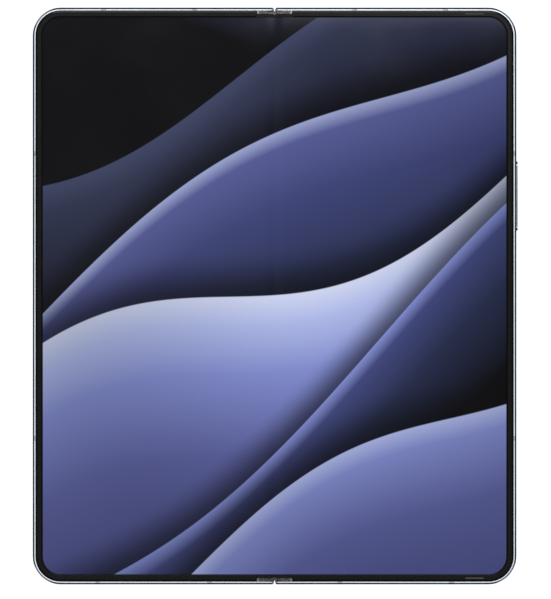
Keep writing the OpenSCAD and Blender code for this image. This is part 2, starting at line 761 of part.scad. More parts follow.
// Screws go in from the back, through the boards
module screws(places) color("silver") for (p = places) translate([p.x, p.y, board_z]) {
  translate([0, 0, -eps]) cylinder(r = screw_r, h = 1.7);
  translate([0, 0, -0.4]) difference() {
    cylinder(r = 1.1, h = 0.4);
    for (a = [0, 90]) rotate([0, 0, a]) translate([-0.7, -0.12, -0.1]) cube([1.4, 0.24, 0.3]);
  }
}
module right_screws() screws(right_boss);
module left_screws() flip() screws(left_boss);

// ---------- spine ----------

// X-Z outline of the spine: two arcs round the turning axes, joined by a flat floor
module spine_outline(r, top) intersection() {
  union() {
    for (s = [-1, 1]) translate([s * axis_x, axis_z]) circle(r);
    translate([-axis_x, axis_z - r]) square([2 * axis_x, 2 * r]);
  }
  translate([-bay_x, 0]) square([2 * bay_x, top]);
}

module spine_cover() color("#a9bcd6") along_y_mid(spine_l) difference() {
  spine_outline(spine_r, spine_edge_z);
  spine_outline(spine_in_r, body_t);
}

module spine_end_caps() color("#8b93a0") both_ends()
  along_y(spine_l / 2 - end_cap_t, end_cap_t) spine_outline(bracket_r, gear_z + tooth_out);

// Places a piece of a hinge module: at is its distance from the module's outer face
module in_module(at) both_ends() translate([0, module_y - at, 0]) children();

bracket_top = axis_z - 0.15;
bracket_r = spine_in_r - 0.02;
cheek_top = gear_z + 1;

module bracket_block(at, l) in_module(at + l) along_y(0, l) spine_outline(bracket_r, spine_edge_z - 0.05);

// Core and groove that a curved rail runs in; s is the side of its turning axis
module rail_guide(at, s) in_module(at + rail_bay) along_y(0, rail_bay) difference() {
  spine_outline(bracket_r, spine_edge_z - 0.05);
  translate([s * axis_x, axis_z]) circle(rail_out + run_clear);
}

module rail_core(at, s) in_module(at + rail_bay) along_y(-eps, rail_bay + 2 * eps) intersection() {
  translate([s * axis_x, axis_z]) circle(rail_in - run_clear);
  translate([-bay_x, 0]) square([2 * bay_x, bracket_top]);
}

module hinge_brackets() color("#6f757e") difference() {
  union() {
    bracket_block(0, cheek);
    rail_guide(right_rail_at, 1);
    rail_core(right_rail_at, 1);
    bracket_block(right_rail_at + rail_bay, cheek);
    rail_guide(left_rail_at, -1);
    rail_core(left_rail_at, -1);
    // Cheeks that carry the shafts stand higher in the middle
    for (at = [left_rail_at + rail_bay, gear_at + gear_bay, spring_at + spring_bay]) {
      bracket_block(at, cheek);
      in_module(at + cheek) along_y(0, cheek)
        translate([-arm_x - 0.8, gear_z - 0.9]) square([2 * arm_x + 1.6, cheek_top - gear_z + 0.9]);
    }
    // Floor that ties the cheeks beyond the rails together, with screw holes
    in_module(module_l) along_y(0, module_l - gear_at + cheek)
      spine_outline(bracket_r, spine_floor + spine_wall + 0.35);
  }
  for (at = [left_rail_at + rail_bay, gear_at + gear_bay, spring_at + spring_bay])
    in_module(at + cheek) for (x = [-arm_x, -idler_x, idler_x, arm_x])
      along_y(-1, cheek + 2) translate([x, gear_z]) circle(shaft_r + run_clear);
  hinge_screw_holes();
}

hinge_screw_at = [spring_at + 1.5, spring_at + spring_bay - 1.5];
module hinge_screw_holes() for (at = hinge_screw_at) in_module(at)
  translate([0, 0, spine_floor + spine_wall - eps]) cylinder(r = 0.42, h = 1);
module hinge_screws() color("silver") for (at = hinge_screw_at) in_module(at)
  translate([0, 0, spine_floor + spine_wall]) {
    cylinder(r = 0.4, h = 0.36);
    translate([0, 0, 0.36]) cylinder(r = 0.8, h = 0.3);
  }

module centre_plate() color("silver") {
  l = 2 * (module_y - 0.4);
  translate([-centre_half, -l / 2, plate_top - plate_t]) cube([2 * centre_half, l, plate_t]);
  // Feet that stand on the shaft cheeks
  for (at = [left_rail_at + rail_bay, spring_at + spring_bay]) in_module(at + cheek)
    block(-1, 1, 0.1, cheek - 0.1, cheek_top, plate_top - plate_t + eps);
}

washer_n = 10;
module torque_springs() color("#c8ccd2") for (s = [-1, 1], i = [0:washer_n - 1])
  in_module(spring_at + 0.25 + (i + 1) * 0.52) along_y(0, 0.35) translate([s * arm_x, gear_z]) difference() {
    circle(1.15);
    circle(shaft_r + run_clear + 0.02);
  }

// ---------- timing gears ----------

function involute(a) = tan(a) * 180 / PI - a;
// Half the angle that a tooth takes up at radius r
function tooth_half(r) = 90 / gear_teeth - gear_backlash / gear_r * 45 / PI
  + involute(press_angle) - (r > gear_base_r ? involute(acos(gear_base_r / r)) : 0);
flank_r = [tooth_root, gear_base_r + 0.02, gear_r, tooth_out];

// Gear outline, with a tooth at angle phase
module gear_profile(phase) polygon([
  for (i = [0:gear_teeth - 1]) let (a = phase + i * 360 / gear_teeth) each [
    for (r = flank_r) r * [cos(a - tooth_half(r)), sin(a - tooth_half(r))],
    for (k = [3:-1:0]) flank_r[k] * [cos(a + tooth_half(flank_r[k])), sin(a + tooth_half(flank_r[k]))]
  ]
]);

half_tooth = 180 / gear_teeth;
shaft_l = gear_bay + 2 * cheek - 0.2;

// Arm's X-Z outline round its shaft: hub, toothed sector and sliding plate
module arm_profile(phase) {
  circle(tooth_root);
  intersection() {
    gear_profile(phase);
    union() {
      slice(55, 135, 2);
      slice(134, 228, 2);
    }
  }
  polygon([
    [0, 0], [0.85, arm_low + arm_t], [arm_tip_x - arm_x, arm_low + arm_t],
    [arm_tip_x - arm_x, arm_low], [0.8, arm_low], [0.8, 0]
  ]);
}

module gear_arm(phase) color("#8a8f96") {
  in_module(gear_at + gear_bay - bay_clear) along_y(0, gear_w) translate([arm_x, gear_z]) arm_profile(phase);
  in_module(spring_at + spring_bay + cheek - 0.1)
    along_y(0, spring_bay + cheek * 3 + gear_bay - 0.2) translate([arm_x, gear_z]) circle(shaft_r);
}
// The right arm has a tooth towards its idler and the left arm a gap
module right_gear_arms() gear_arm(180);
module left_gear_arms() flip() gear_arm(180 + half_tooth);

// Idler gear with its short shaft; phase turns it into mesh
module idler(x, phase) color("#a3a8ae") {
  in_module(gear_at + gear_bay - bay_clear) along_y(0, gear_w) translate([x, gear_z]) gear_profile(phase);
  in_module(gear_at + gear_bay + cheek - 0.1) along_y(0, shaft_l) translate([x, gear_z]) circle(shaft_r);
}
module right_idlers() idler(idler_x, half_tooth);
module left_idlers() idler(-idler_x, 0);

// ---------- rails and wing plates ----------

module rotator(at) color("#7d838c") in_module(at + rail_bay - bay_clear) {
  along_y(0, rail_w) {
    translate([axis_x, axis_z]) intersection() {
      difference() {
        circle(rail_out);
        circle(rail_in);
      }
      union() {
        slice(rail_tail, -85, rail_out);
        slice(-86, rail_head, rail_out);
      }
    }
    translate([axis_x + rail_in + 0.02, rail_block_z])
      square([rail_block_x - axis_x - rail_in - 0.02, rail_block_t]);
  }
}
module right_rotators() rotator(right_rail_at);
module left_rotators() flip() rotator(left_rail_at);

// Wing plates carry the display beside the fold and swing down as it closes
module wings() color("silver") both_ends() {
  block(wing_in, wing_pivot_x, wing_y0, wing_y1, plate_top - plate_t, plate_top);
  along_y(wing_y0, wing_y1 - wing_y0) translate([wing_pivot_x, wing_pivot_z]) circle(wing_pin_r);
}
module right_wings() wings();
module left_wings() flip() wings();

// ---------- flexible circuits across the spine ----------

flex_w = 14;
flex_y = 20;
flex_t = 0.15;
flex_low = spine_floor + spine_wall + 0.2;
flex_high = spine_edge_z + 0.3;
flex_end = hinge_wall_x + 3;

// Slots in the wall beside the spine that the flexible circuits go through
module flex_slots() both_ends() block(bay_x - 0.4, hinge_wall_x + 1, flex_y - 0.2, flex_y + flex_w + 0.2,
  flex_high - 0.15, flex_high + flex_t + 0.15);

// Half of each flexible circuit, with the connector at its end
module hinge_flex() color("#b8792b") both_ends() along_y(flex_y, flex_w) {
  polygon([
    [0, flex_low], [2.4, flex_low], [4.6, flex_high], [flex_end, flex_high], [flex_end, flex_high + flex_t],
    [4.5, flex_high + flex_t], [2.3, flex_low + flex_t], [0, flex_low + flex_t]
  ]);
  translate([flex_end - 2, flex_high - 0.5]) square([2, 0.5 + eps]);
}
module hinge_flex_right() hinge_flex();
module hinge_flex_left() flip() hinge_flex();

// ---------- nodes ----------

lift() right_frame();
lift() right_bezel();
lift() right_antenna_bands();
lift() main_display_right();
lift() display_backplate_right();
lift() rear_glass();
lift() camera_island();
lift() camera_lens_rings();
lift() camera_lens_glasses();
lift() camera_modules();
lift() flash_lens();
lift() right_circuit_boards();
lift() board_shields();
lift() right_battery();
lift() charging_coil();
lift() usb_port();
lift() bottom_speaker();
lift() vibration_motor();
lift() key_switches();
lift() inner_camera();
lift() closing_bumpers();
lift() right_magnets();
lift() right_rotators();
lift() right_screws();
lift() left_frame();
lift() left_bezel();
lift() left_antenna_bands();
lift() main_display_left();
lift() display_backplate_left();
lift() cover_glass();
lift() cover_display();
lift() cover_camera();
lift() left_battery();
lift() left_circuit_board();
lift() top_speaker();
lift() sim_socket();
lift() left_magnets();
lift() left_rotators();
lift() left_screws();
lift() spine_cover();
lift() spine_end_caps();
lift() hinge_brackets();
lift() centre_plate();
lift() torque_springs();
lift() hinge_screws();
lift() hinge_flex_right();
lift() hinge_flex_left();
lift() display_fold_right();
lift() display_fold_left();
lift() fold_seals_right();
lift() fold_seals_left();
lift() right_gear_arms();
lift() left_gear_arms();
lift() right_idlers();
lift() left_idlers();
lift() volume_key();
lift() side_key();
lift() sim_tray();
lift() right_wings();
lift() left_wings();
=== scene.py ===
import json
import math

import bmesh
import bpy
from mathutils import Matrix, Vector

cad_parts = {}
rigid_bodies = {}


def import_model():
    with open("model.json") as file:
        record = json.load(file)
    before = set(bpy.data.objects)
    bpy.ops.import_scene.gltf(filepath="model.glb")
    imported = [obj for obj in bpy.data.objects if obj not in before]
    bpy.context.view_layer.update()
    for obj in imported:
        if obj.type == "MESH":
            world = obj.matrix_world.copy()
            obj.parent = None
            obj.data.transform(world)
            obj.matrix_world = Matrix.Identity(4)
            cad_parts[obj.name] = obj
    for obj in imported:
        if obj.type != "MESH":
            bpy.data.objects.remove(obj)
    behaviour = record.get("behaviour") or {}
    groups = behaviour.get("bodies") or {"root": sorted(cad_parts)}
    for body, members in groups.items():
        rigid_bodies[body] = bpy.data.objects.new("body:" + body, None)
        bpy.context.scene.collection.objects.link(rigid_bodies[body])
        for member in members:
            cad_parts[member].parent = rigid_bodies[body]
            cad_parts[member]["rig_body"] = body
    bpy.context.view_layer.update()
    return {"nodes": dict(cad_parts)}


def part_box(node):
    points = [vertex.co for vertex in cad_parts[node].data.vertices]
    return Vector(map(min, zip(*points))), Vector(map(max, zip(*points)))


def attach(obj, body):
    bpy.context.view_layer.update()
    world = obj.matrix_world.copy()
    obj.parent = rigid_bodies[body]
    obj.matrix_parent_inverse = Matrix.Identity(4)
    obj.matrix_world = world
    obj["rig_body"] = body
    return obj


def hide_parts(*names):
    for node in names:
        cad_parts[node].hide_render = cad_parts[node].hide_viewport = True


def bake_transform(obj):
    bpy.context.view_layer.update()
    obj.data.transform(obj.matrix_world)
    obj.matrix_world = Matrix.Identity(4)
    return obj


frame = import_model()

bl_info = {
    "name": "Foldable phone looks",
    "version": (1, 0, 0),
    "blender": (4, 5, 0),
    "location": "3D View > Sidebar > Folding Phone",
    "description": "Finishes, display, small parts and studio for the packed folding phone",
    "category": "Object",
}

MM = 0.001
UV_SCALE = 0.005  # a stored rest map holds millimetres times this
DISPLAY_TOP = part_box("main_display_right")[1].z
FOLD_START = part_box("main_display_right")[0].x
RIGHT, LEFT, SPINE = "right_half", "left_half", "spine"
SIDES = (("right", 1.0, RIGHT), ("left", -1.0, LEFT))
ALONG_X, ALONG_Y = 0, 1


def srgb(red, green, blue):
    """A colour given as 0 to 255 screen values, in linear light."""
    return tuple(((c / 255 + 0.055) / 1.055) ** 2.4 if c > 10 else c / 255 / 12.92
                 for c in (red, green, blue))


def with_alpha(tone):
    return (*tone, 1.0)


def scaled(tone, amount):
    return [c * amount for c in tone]


def middle_of(name):
    """The middle of a CAD node's box, in millimetres."""
    return [(low + high) / 2 / MM for low, high in zip(*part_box(name))]


def spread(start, end, steps):
    """Evenly spaced values from start to end, with both of them."""
    return [start + (end - start) * i / steps for i in range(steps + 1)]


# ---------- sizes and colours that a user would change ----------

def number(name, description, default, **more):
    return bpy.props.FloatProperty(name=name, description=description, default=default, **more)


def length(name, description, default, low=0.0):
    return number(name, description, default, min=low, subtype="DISTANCE", unit="LENGTH",
                  precision=5)


def brightness(name, description, default):
    return number(name, description, default, min=0.0)


def colour(name, description, default):
    return bpy.props.FloatVectorProperty(name=name, description=description, default=default,
                                         size=3, min=0.0, max=1.0, subtype="COLOR")


class PhoneSizes(bpy.types.PropertyGroup):
    """Sizes of the pieces that are made here rather than in the CAD model."""
    lit_half_width: length("Lit half width", "Half the width of the lit display area", 62.2 * MM)
    lit_half_height: length("Lit half height", "Half the height of the lit display area", 74.7 * MM)
    lit_corner: length("Lit corner radius", "Corner radius of the lit display area", 4.8 * MM)
    crease_depth: length("Crease depth", "Depth of the soft crease along the fold", 0.02 * MM)
    crease_width: length("Crease width", "How far the crease spreads to each side", 1.3 * MM)
    slot_pitch: length("Slot pitch", "Pitch of the slots in the sheet below the fold", 0.5 * MM)
    track_pitch: length("Track pitch", "Pitch of the copper tracks across the spine", 0.7 * MM)
    lens_ring_step: length("Lens ring step", "Radius step of the rings inside a camera", 0.55 * MM)
    wire_pitch: length("Mesh pitch", "Pitch of the wires in the speaker holes", 0.14 * MM)
    contact_pitch: length("Contact pitch", "Pitch of the contacts on the socket's tongue", 0.5 * MM)


class PhoneColours(bpy.types.PropertyGroup):
    """Colours of the finishes."""
    frame_metal: colour("Frame metal", "Anodised pale blue metal", (0.62, 0.68, 0.77))
    antenna: colour("Antenna bands", "Painted bands in the frame", (0.39, 0.42, 0.48))
    border: colour("Raised border", "Black moulded border of the display", (0.003, 0.0032, 0.0028))
    rear: colour("Rear glass", "Etched rear glass", (0.5, 0.58, 0.7))
    glass_black: colour("Black glass", "Cover glass and camera glass", (0.004, 0.004, 0.005))
    board: colour("Board", "Solder mask of the circuit boards", (0.012, 0.07, 0.04))
    flex: colour("Flexible circuit", "Amber film of the flexible circuits", (0.42, 0.2, 0.045))
    copper: colour("Copper", "Bare copper", (0.8, 0.42, 0.22))
    gold: colour("Gold", "Plated contacts", (0.9, 0.66, 0.3))
    steel: colour("Steel", "Rolled and turned steel", (0.56, 0.57, 0.6))
    hinge: colour("Hinge steel", "Sintered hinge steel", (0.36, 0.37, 0.39))


class PhoneStudio(bpy.types.PropertyGroup):
    """Camera, floor and light."""
    lens: number("Lens", "Focal length in millimetres", 250.0, min=20.0)
    view_height: length("View height", "Height of the picture at the display", 160.78 * MM)
    aim_x: length("Aim X", "Camera's place to the right of the fold", 0.25 * MM)
    aim_y: length("Aim Y", "Camera's place up the display", -0.94 * MM, -1.0)
    floor_size: length("Floor size", "Width of the square floor", 12.0)
    floor_glow: brightness("Floor glow", "Light that the floor gives off by itself", 0.76)
    dome: brightness("Dome", "Brightness of the ring in the soft dome", 1.4)
    veil: brightness("Veil", "Brightness of the card over the left half", 0.06)


# ---------- node trees written as expressions ----------

def maths(operation, reflected=False):
    """A method of Value that adds one Math node."""
    def method(self, *others):
        values = (*others, self) if reflected else (self, *others)
        return self.graph.node("ShaderNodeMath", dict(enumerate(values)), operation=operation)
    return method


class Value:
    """A socket's value, so that sums on it can be written as Python."""

    def __init__(self, graph, socket):
        self.graph, self.socket = graph, socket

    __add__ = __radd__ = maths("ADD")
    __sub__, __rsub__ = maths("SUBTRACT"), maths("SUBTRACT", reflected=True)
    __mul__ = __rmul__ = maths("MULTIPLY")
    __truediv__, __mod__, __pow__ = maths("DIVIDE"), maths("MODULO"), maths("POWER")
    sine, size, fraction = maths("SINE"), maths("ABSOLUTE"), maths("FRACT")
    larger = maths("MAXIMUM")

    def step(self, low, high, start=0.0, end=1.0):
        """Runs smoothly from start to end while the value goes from low to high."""
        return self.graph.node("ShaderNodeMapRange", {
            "Value": self, "From Min": low, "From Max": high, "To Min": start, "To Max": end},
            interpolation_type="SMOOTHSTEP")

    def fall(self, low, high):
        """One up to low, and nothing past high."""
        return self.step(low, high, 1.0, 0.0)

    def band(self, first, last):
        """One between two soft edges, each given as its low and high value."""
        return self.step(*first) * self.fall(*last)


class Graph:
    """Adds nodes to one tree. node() makes any of them, and the rest are shorter names."""

    def __init__(self, tree):
        self.tree = tree
        tree.nodes.clear()

    def node(self, kind, values=None, out=0, **settings):
        """Makes a node: its settings first, then its inputs, by name or number."""
        made = self.tree.nodes.new(kind)
        stops = settings.pop("stops", ())
        for name, setting in settings.items():
            setattr(made, name, setting)
        if stops:
            elements = made.color_ramp.elements
            while len(elements) < len(stops):
                elements.new(0.5)
            for element, (place, tone) in zip(elements, stops):
                element.position, element.color = place, with_alpha(tone)
        for key, value in (values or {}).items():
            self.feed(made.inputs[key], value)
        return Value(self, made.outputs[out]) if len(made.outputs) else made

    def feed(self, socket, value):
        if isinstance(value, Value):
            self.tree.links.new(value.socket, socket)
        else:
            socket.default_value = with_alpha(value) if socket.type == "RGBA" else value

    def place(self, uv_map=None):
        """The point in millimetres, from Object coordinates or from a stored rest map."""
        point = (self.node("ShaderNodeUVMap", uv_map=uv_map) if uv_map
                 else self.node("ShaderNodeTexCoord", out=3))
        return self.node("ShaderNodeVectorMath", {
            "Vector": point, "Scale": 1.0 / (UV_SCALE if uv_map else MM)}, operation="SCALE")

    def split(self, point):
        parts = self.node("ShaderNodeSeparateXYZ", {0: point}).socket.node
        return [Value(self, socket) for socket in parts.outputs]

    def vector(self, x=0.0, y=0.0, z=0.0):
        return self.node("ShaderNodeCombineXYZ", {"X": x, "Y": y, "Z": z})

    def grey(self, amount):
        return self.node("ShaderNodeCombineColor", {0: amount, 1: amount, 2: amount})

    def stretch(self, point, amounts):
        return self.node("ShaderNodeVectorMath", {0: point, 1: amounts}, operation="MULTIPLY")

    def noise(self, point, scale, detail=2.0, roughness=0.5):
        return self.node("ShaderNodeTexNoise", {
            "Vector": point, "Scale": scale, "Detail": detail, "Roughness": roughness})

    def cells(self, point, scale, randomness=1.0, distance="EUCLIDEAN"):
        return self.node("ShaderNodeTexVoronoi", {
            "Vector": point, "Scale": scale, "Randomness": randomness},
            feature="F1", distance=distance)

    def ramp(self, factor, *stops):
        return self.node("ShaderNodeValToRGB", {"Fac": factor}, stops=stops)

    def mix(self, factor, first, second, blend="MIX"):
        return self.node("ShaderNodeMix", {0: factor, 6: first, 7: second}, out=2,
                         data_type="RGBA", blend_type=blend)

    def radius(self, x, y, at=(0.0, 0.0)):
        """Distance from a point in the XY plane."""
        flat = self.vector(x - at[0], y - at[1])
        return self.node("ShaderNodeVectorMath", {0: flat}, out=1, operation="LENGTH")

    def line(self, count, start, offset):
        """Points in a row, for Geometry Nodes."""
        return self.node("GeometryNodeMeshLine", {
            "Count": count, "Start Location": start, "Offset": offset}, mode="OFFSET")

    def copies(self, points, piece, scale=(1.0, 1.0, 1.0)):
        """The piece on each of the points."""
        return self.node("GeometryNodeInstanceOnPoints", {
            "Points": points, "Instance": piece, "Scale": scale})

    def blocks(self, points, size):
        return self.copies(points, self.node("GeometryNodeMeshCube", {"Size": size}))

    def joined(self, *parts):
        made = self.node("GeometryNodeJoinGeometry")
        for part in parts:
            self.tree.links.new(part.socket, made.socket.node.inputs[0])
        return made


def material(name, finish, tone, *sizes, uv_map=None, shown=None, **more):
    """A new surface material. The finish adds its nodes and returns the shader's values."""
    made = bpy.data.materials.new(name)
    made.use_nodes = True
    made.diffuse_color = with_alpha(shown or tone)
    graph = Graph(made.node_tree)
    values = finish(graph, graph.place(uv_map), tone, *sizes, **more)
    bump = values.pop("bump", None)
    if bump:
        values["Normal"] = graph.node("ShaderNodeBump", {
            "Height": bump[0], "Strength": bump[1], "Distance": 0.02 * MM})
    graph.node("ShaderNodeOutputMaterial", {
        "Surface": graph.node("ShaderNodeBsdfPrincipled", values)})
    return made


# ---------- finishes ----------

# Painted shade in the recess at the fold's ends, in mm: its reach from the fold, its two edges
# along the phone, its lowest height, and the two edges of its paler tab. The shade is almost black
# beyond the tab.
SHADE_WIDTH = (5.05, 5.1)
SHADE_LENGTH = ((74.8, 74.9), (76.62, 76.68))
SHADE_HEIGHT = (4.8, 4.95)
SHADE_TAB = ((4.15, 4.25), (4.66, 4.74))
# The dark tone of that painted shade, lightened in mottled patches
SHADE_TONE = (0.072, 0.07, 0.067)

# The switched-off panel behind the cover glass, in mm
PANEL_X = ((-62.2, -61.9), (-8.1, -7.8))
PANEL_Y = (74.3, 74.6)


def fold_end_shade(graph, point, metal, bare):
    """The metal's tone, with a mottled painted shade in the recess at the two ends of the fold."""
    x, y, z = graph.split(point)
    across = x.size()
    shade_zone = across.fall(*SHADE_WIDTH) * y.size().band(*SHADE_LENGTH) * z.step(*SHADE_HEIGHT)
    chips = graph.noise(point, 2.6, 2.0, 0.7).step(0.38, 0.66)
    painted_shade = graph.mix(chips, bare, scaled(bare, 3.2))
    # Past the tab, the painted shade goes almost black
    painted_shade = graph.mix(across.step(*SHADE_TAB[1]), painted_shade, scaled(bare, 0.2))
    return graph.mix(shade_zone * (1.0 - across.band(*SHADE_TAB) * 0.4), metal, painted_shade)


def blasted(graph, point, tone, roughness, grain=9.0, bare=None):
    """Bead-blasted, anodised metal with fine even grain, and painted shade where the fold ends."""
    grit = graph.noise(point, grain, 3.0, 0.6)
    cloud = graph.noise(point, 0.12, 2.0)
    base = graph.mix(cloud.step(0.3, 0.7), tone, scaled(tone, 0.93))
    return {"Base Color": fold_end_shade(graph, point, base, bare) if bare else base,
            "Metallic": 1.0,
            "Roughness": grit.step(0.25, 0.75, roughness - 0.02, roughness + 0.03),
            "bump": (grit, 0.03)}


def brushed(graph, point, tone, along, roughness=0.3):
    """Rolled or ground metal with fine lines along one axis."""
    amounts = [26.0, 26.0, 26.0]
    amounts[along] = 0.7
    lines = graph.noise(graph.stretch(point, amounts), 1.0, 3.0)
    stain = graph.noise(point, 0.2, 3.0)
    return {"Base Color": graph.mix(stain.step(0.35, 0.7), tone, scaled(tone, 0.8)),
            "Metallic": 1.0,
            "Roughness": lines.step(0.3, 0.7, roughness - 0.07, roughness + 0.09),
            "bump": (lines, 0.2)}


def oiled_gear(graph, point, tone):
    """Machined teeth with a thin uneven film of grease."""
    grease = graph.noise(point, 1.3, 3.0).step(0.45, 0.62)
    cut = graph.noise(graph.stretch(point, (30.0, 1.2, 30.0)), 1.0, 2.0)
    return {"Base Color": graph.mix(grease, tone, scaled(tone, 0.7)),
            "Metallic": 1.0,
            "Roughness": grease.step(0.0, 1.0, 0.34, 0.14),
            "bump": (cut, 0.15)}


def moulded(graph, point, tone, roughness, grain=7.0, strength=0.3, paler=1.25):
    """Fine spark-textured plastic, a little paler in patches."""
    texture = graph.noise(point, grain, 2.0, 0.55)
    drift = graph.noise(point, 0.25, 2.0)
    return {"Base Color": graph.mix(drift.step(0.3, 0.7), tone, scaled(tone, paler)),
            "Roughness": texture.step(0.3, 0.7, *roughness),
            "bump": (texture, strength)}


def satin_border(graph, point, tone):
    """Fine satin black moulding, kept low in gloss."""
    return {**moulded(graph, point, tone, (0.19, 0.23), 10.0, 0.05, 1.3), "IOR": 1.24}


def rear_pane(graph, point, tone):
    """Pale colour behind softly etched glass."""
    etch = graph.noise(point, 11.0, 3.0, 0.65)
    sweep = graph.noise(point, 0.012, 1.0)
    pearl = graph.cells(point, 16.0).step(0.0, 0.25, 0.12, 0.0)
    base = graph.mix(sweep.step(0.35, 0.65), tone, scaled(tone, 0.9))
    return {"Base Color": graph.mix(pearl, base, (0.75, 0.82, 0.92)),
            "Roughness": etch.step(0.3, 0.7, 0.3, 0.38), "IOR": 1.5,
            "Coat Weight": 0.25, "Coat Roughness": 0.22,
            "bump": (etch, 0.06)}


def black_pane(graph, point, tone):
    """Polished cover glass over a black border, a switched-off panel and a camera's window."""
    x, y, _ = graph.split(point)
    camera = graph.radius(x, y, middle_of("cover_camera"))
    base = graph.mix(x.band(*PANEL_X) * y.size().fall(*PANEL_Y), tone, (0.013, 0.0135, 0.017))
    for place, shade in ((camera.fall(1.75, 1.9), (0.001, 0.001, 0.0015)),
                         (camera.band((0.95, 1.05), (1.25, 1.35)), (0.09, 0.09, 0.1)),
                         (camera.fall(0.1, 0.75), (0.02, 0.03, 0.09))):
        base = graph.mix(place, base, shade)
    dust = graph.noise(point, 0.08, 4.0)
    return {"Base Color": base, "Roughness": dust.step(0.3, 0.8, 0.04, 0.09),
            "IOR": 1.5, "bump": (dust, 0.01)}


def camera_glass(graph, point, tone, middle, pitch):
    """Coated glass: almost black, with a violet coating towards the middle of each camera."""
    smear = graph.noise(point, 0.3, 3.0)
    x, y, _ = graph.split(point)
    along = ((y - middle[1]) / pitch + 1.5).fraction() - 0.5
    far = graph.radius(x - middle[0], along * pitch)
    return {"Base Color": graph.ramp(far.step(0.0, 2.6), (0.0, (0.02, 0.012, 0.05)),
                                     (0.5, (0.01, 0.02, 0.035)), (1.0, tone)),
            "Roughness": smear.step(0.3, 0.8, 0.03, 0.07), "IOR": 1.6,
            "Coat Weight": 1.0, "Coat Roughness": 0.02}


def flash_window(graph, point, tone):
    """Milky window with a warm middle and the fine rings of a moulded lens."""
    x, y, _ = graph.split(point)
    far = graph.radius(x, y, middle_of("flash_lens"))
    rings = (far * 3.2).fraction()
    return {"Base Color": graph.ramp(far.step(0.0, 2.4), (0.0, (0.95, 0.82, 0.35)),
                                     (0.45, (0.9, 0.8, 0.5)), (0.75, tone)),
            "Roughness": rings.step(0.0, 1.0, 0.1, 0.22), "bump": (rings, 0.5)}


def laminate(graph, point, tone):
    """Circuit board: solder mask over copper tracks, with tinned pads and small packages."""
    x, y, _ = graph.split(point)
    lanes = ((x + (y * 0.45).sine() * 0.9) * 1.7).fraction()
    tracks = lanes.band((0.35, 0.42), (0.58, 0.65))
    pads = graph.cells(point, 0.55, 0.8, "CHEBYCHEV")
    pad, chip = pads.fall(0.2, 0.23), pads.fall(0.13, 0.15)
    base = graph.mix(tracks, tone, scaled(tone, 1.9))
    base = graph.mix(pad, base, (0.62, 0.58, 0.45))
    return {"Base Color": graph.mix(chip, base, (0.02, 0.02, 0.022)),
            "Roughness": pad.step(0.0, 1.0, 0.4, 0.28), "Metallic": pad - chip,
            "bump": (tracks + pad + chip, 0.6)}


def foil_cell(graph, point, tone):
    """Battery pouch: black film with a soft orange-peel surface and a brighter folded rim."""
    peel = graph.noise(point, 0.9, 3.0)
    rim = graph.split(point)[2].band((4.0, 4.1), (4.5, 4.6))
    return {"Base Color": graph.mix(rim, tone, (0.2, 0.2, 0.21)),
            "Roughness": peel.step(0.3, 0.7, 0.3, 0.46), "bump": (peel, 0.5)}


def coil_turns(graph, point, tone):
    """Litz wire wound flat: one groove for each turn, darkened as painted shade, with strands
    across it.
    """
    x, y, _ = graph.split(point)
    far = graph.radius(x, y, middle_of("charging_coil"))
    groove = ((far * 1.1).fraction() - 0.5).size()
    strands = graph.noise(point, 9.0, 2.0)
    # Painted shade: the copper is darkened in each groove between the turns
    return {"Base Color": graph.mix(groove.step(0.3, 0.5), tone, scaled(tone, 0.35)),
            "Metallic": 1.0, "Roughness": strands.step(0.3, 0.7, 0.26, 0.42),
            "bump": (strands * 0.4 - groove, 0.8)}


def amber_film(graph, point, tone, copper, pitch):
    """Flexible circuit film with the copper tracks showing through it."""
    lanes = (graph.split(point)[1] / pitch).fraction()
    track = lanes.band((0.2, 0.27), (0.73, 0.8))
    mottle = graph.noise(point, 1.5, 3.0)
    base = graph.mix(mottle.step(0.35, 0.7), tone, scaled(tone, 0.8))
    return {"Base Color": graph.mix(track * 0.6, base, copper),
            "Roughness": mottle.step(0.3, 0.7, 0.3, 0.42), "bump": (track, 0.5)}


# ---------- the picture on the display ----------

INK = srgb(9, 9, 12)
NIGHT = srgb(38, 45, 74)
SLATE = srgb(72, 79, 112)
INDIGO = srgb(62, 68, 118)
IRIS = srgb(90, 95, 155)
PERIWINKLE = srgb(124, 134, 196)
PALE = srgb(165, 175, 219)
MIST = srgb(196, 203, 228)
SWITCHED_OFF = (0.003, 0.003, 0.0035)

# Each silk fold, from the back: slope, height in mm, wave height, wave length, phase,
# depth of its shading, and the tones from its crest down
FOLDS = (
    (0.42, 63.0, 9.0, 24.0, 0.4, 62.0,
     ((0.0, SLATE), (0.12, srgb(54, 60, 88)), (0.5, srgb(26, 28, 44)), (1.0, INK))),
    (0.66, 34.0, 12.0, 31.0, 2.2, 66.0,
     ((0.0, PALE), (0.07, IRIS), (0.3, INDIGO), (0.62, NIGHT), (1.0, INK))),
    (0.5, 6.0, 13.0, 27.0, 3.6, 74.0,
     ((0.0, MIST), (0.1, PALE), (0.28, PERIWINKLE), (0.58, IRIS), (1.0, INDIGO))),
    (0.8, -34.0, 10.0, 29.0, 5.3, 52.0,
     ((0.0, PERIWINKLE), (0.1, INDIGO), (0.4, NIGHT), (0.85, INK))),
    (0.62, -62.0, 9.0, 23.0, 1.1, 58.0,
     ((0.0, PALE), (0.1, PERIWINKLE), (0.4, IRIS), (1.0, INDIGO))),
)


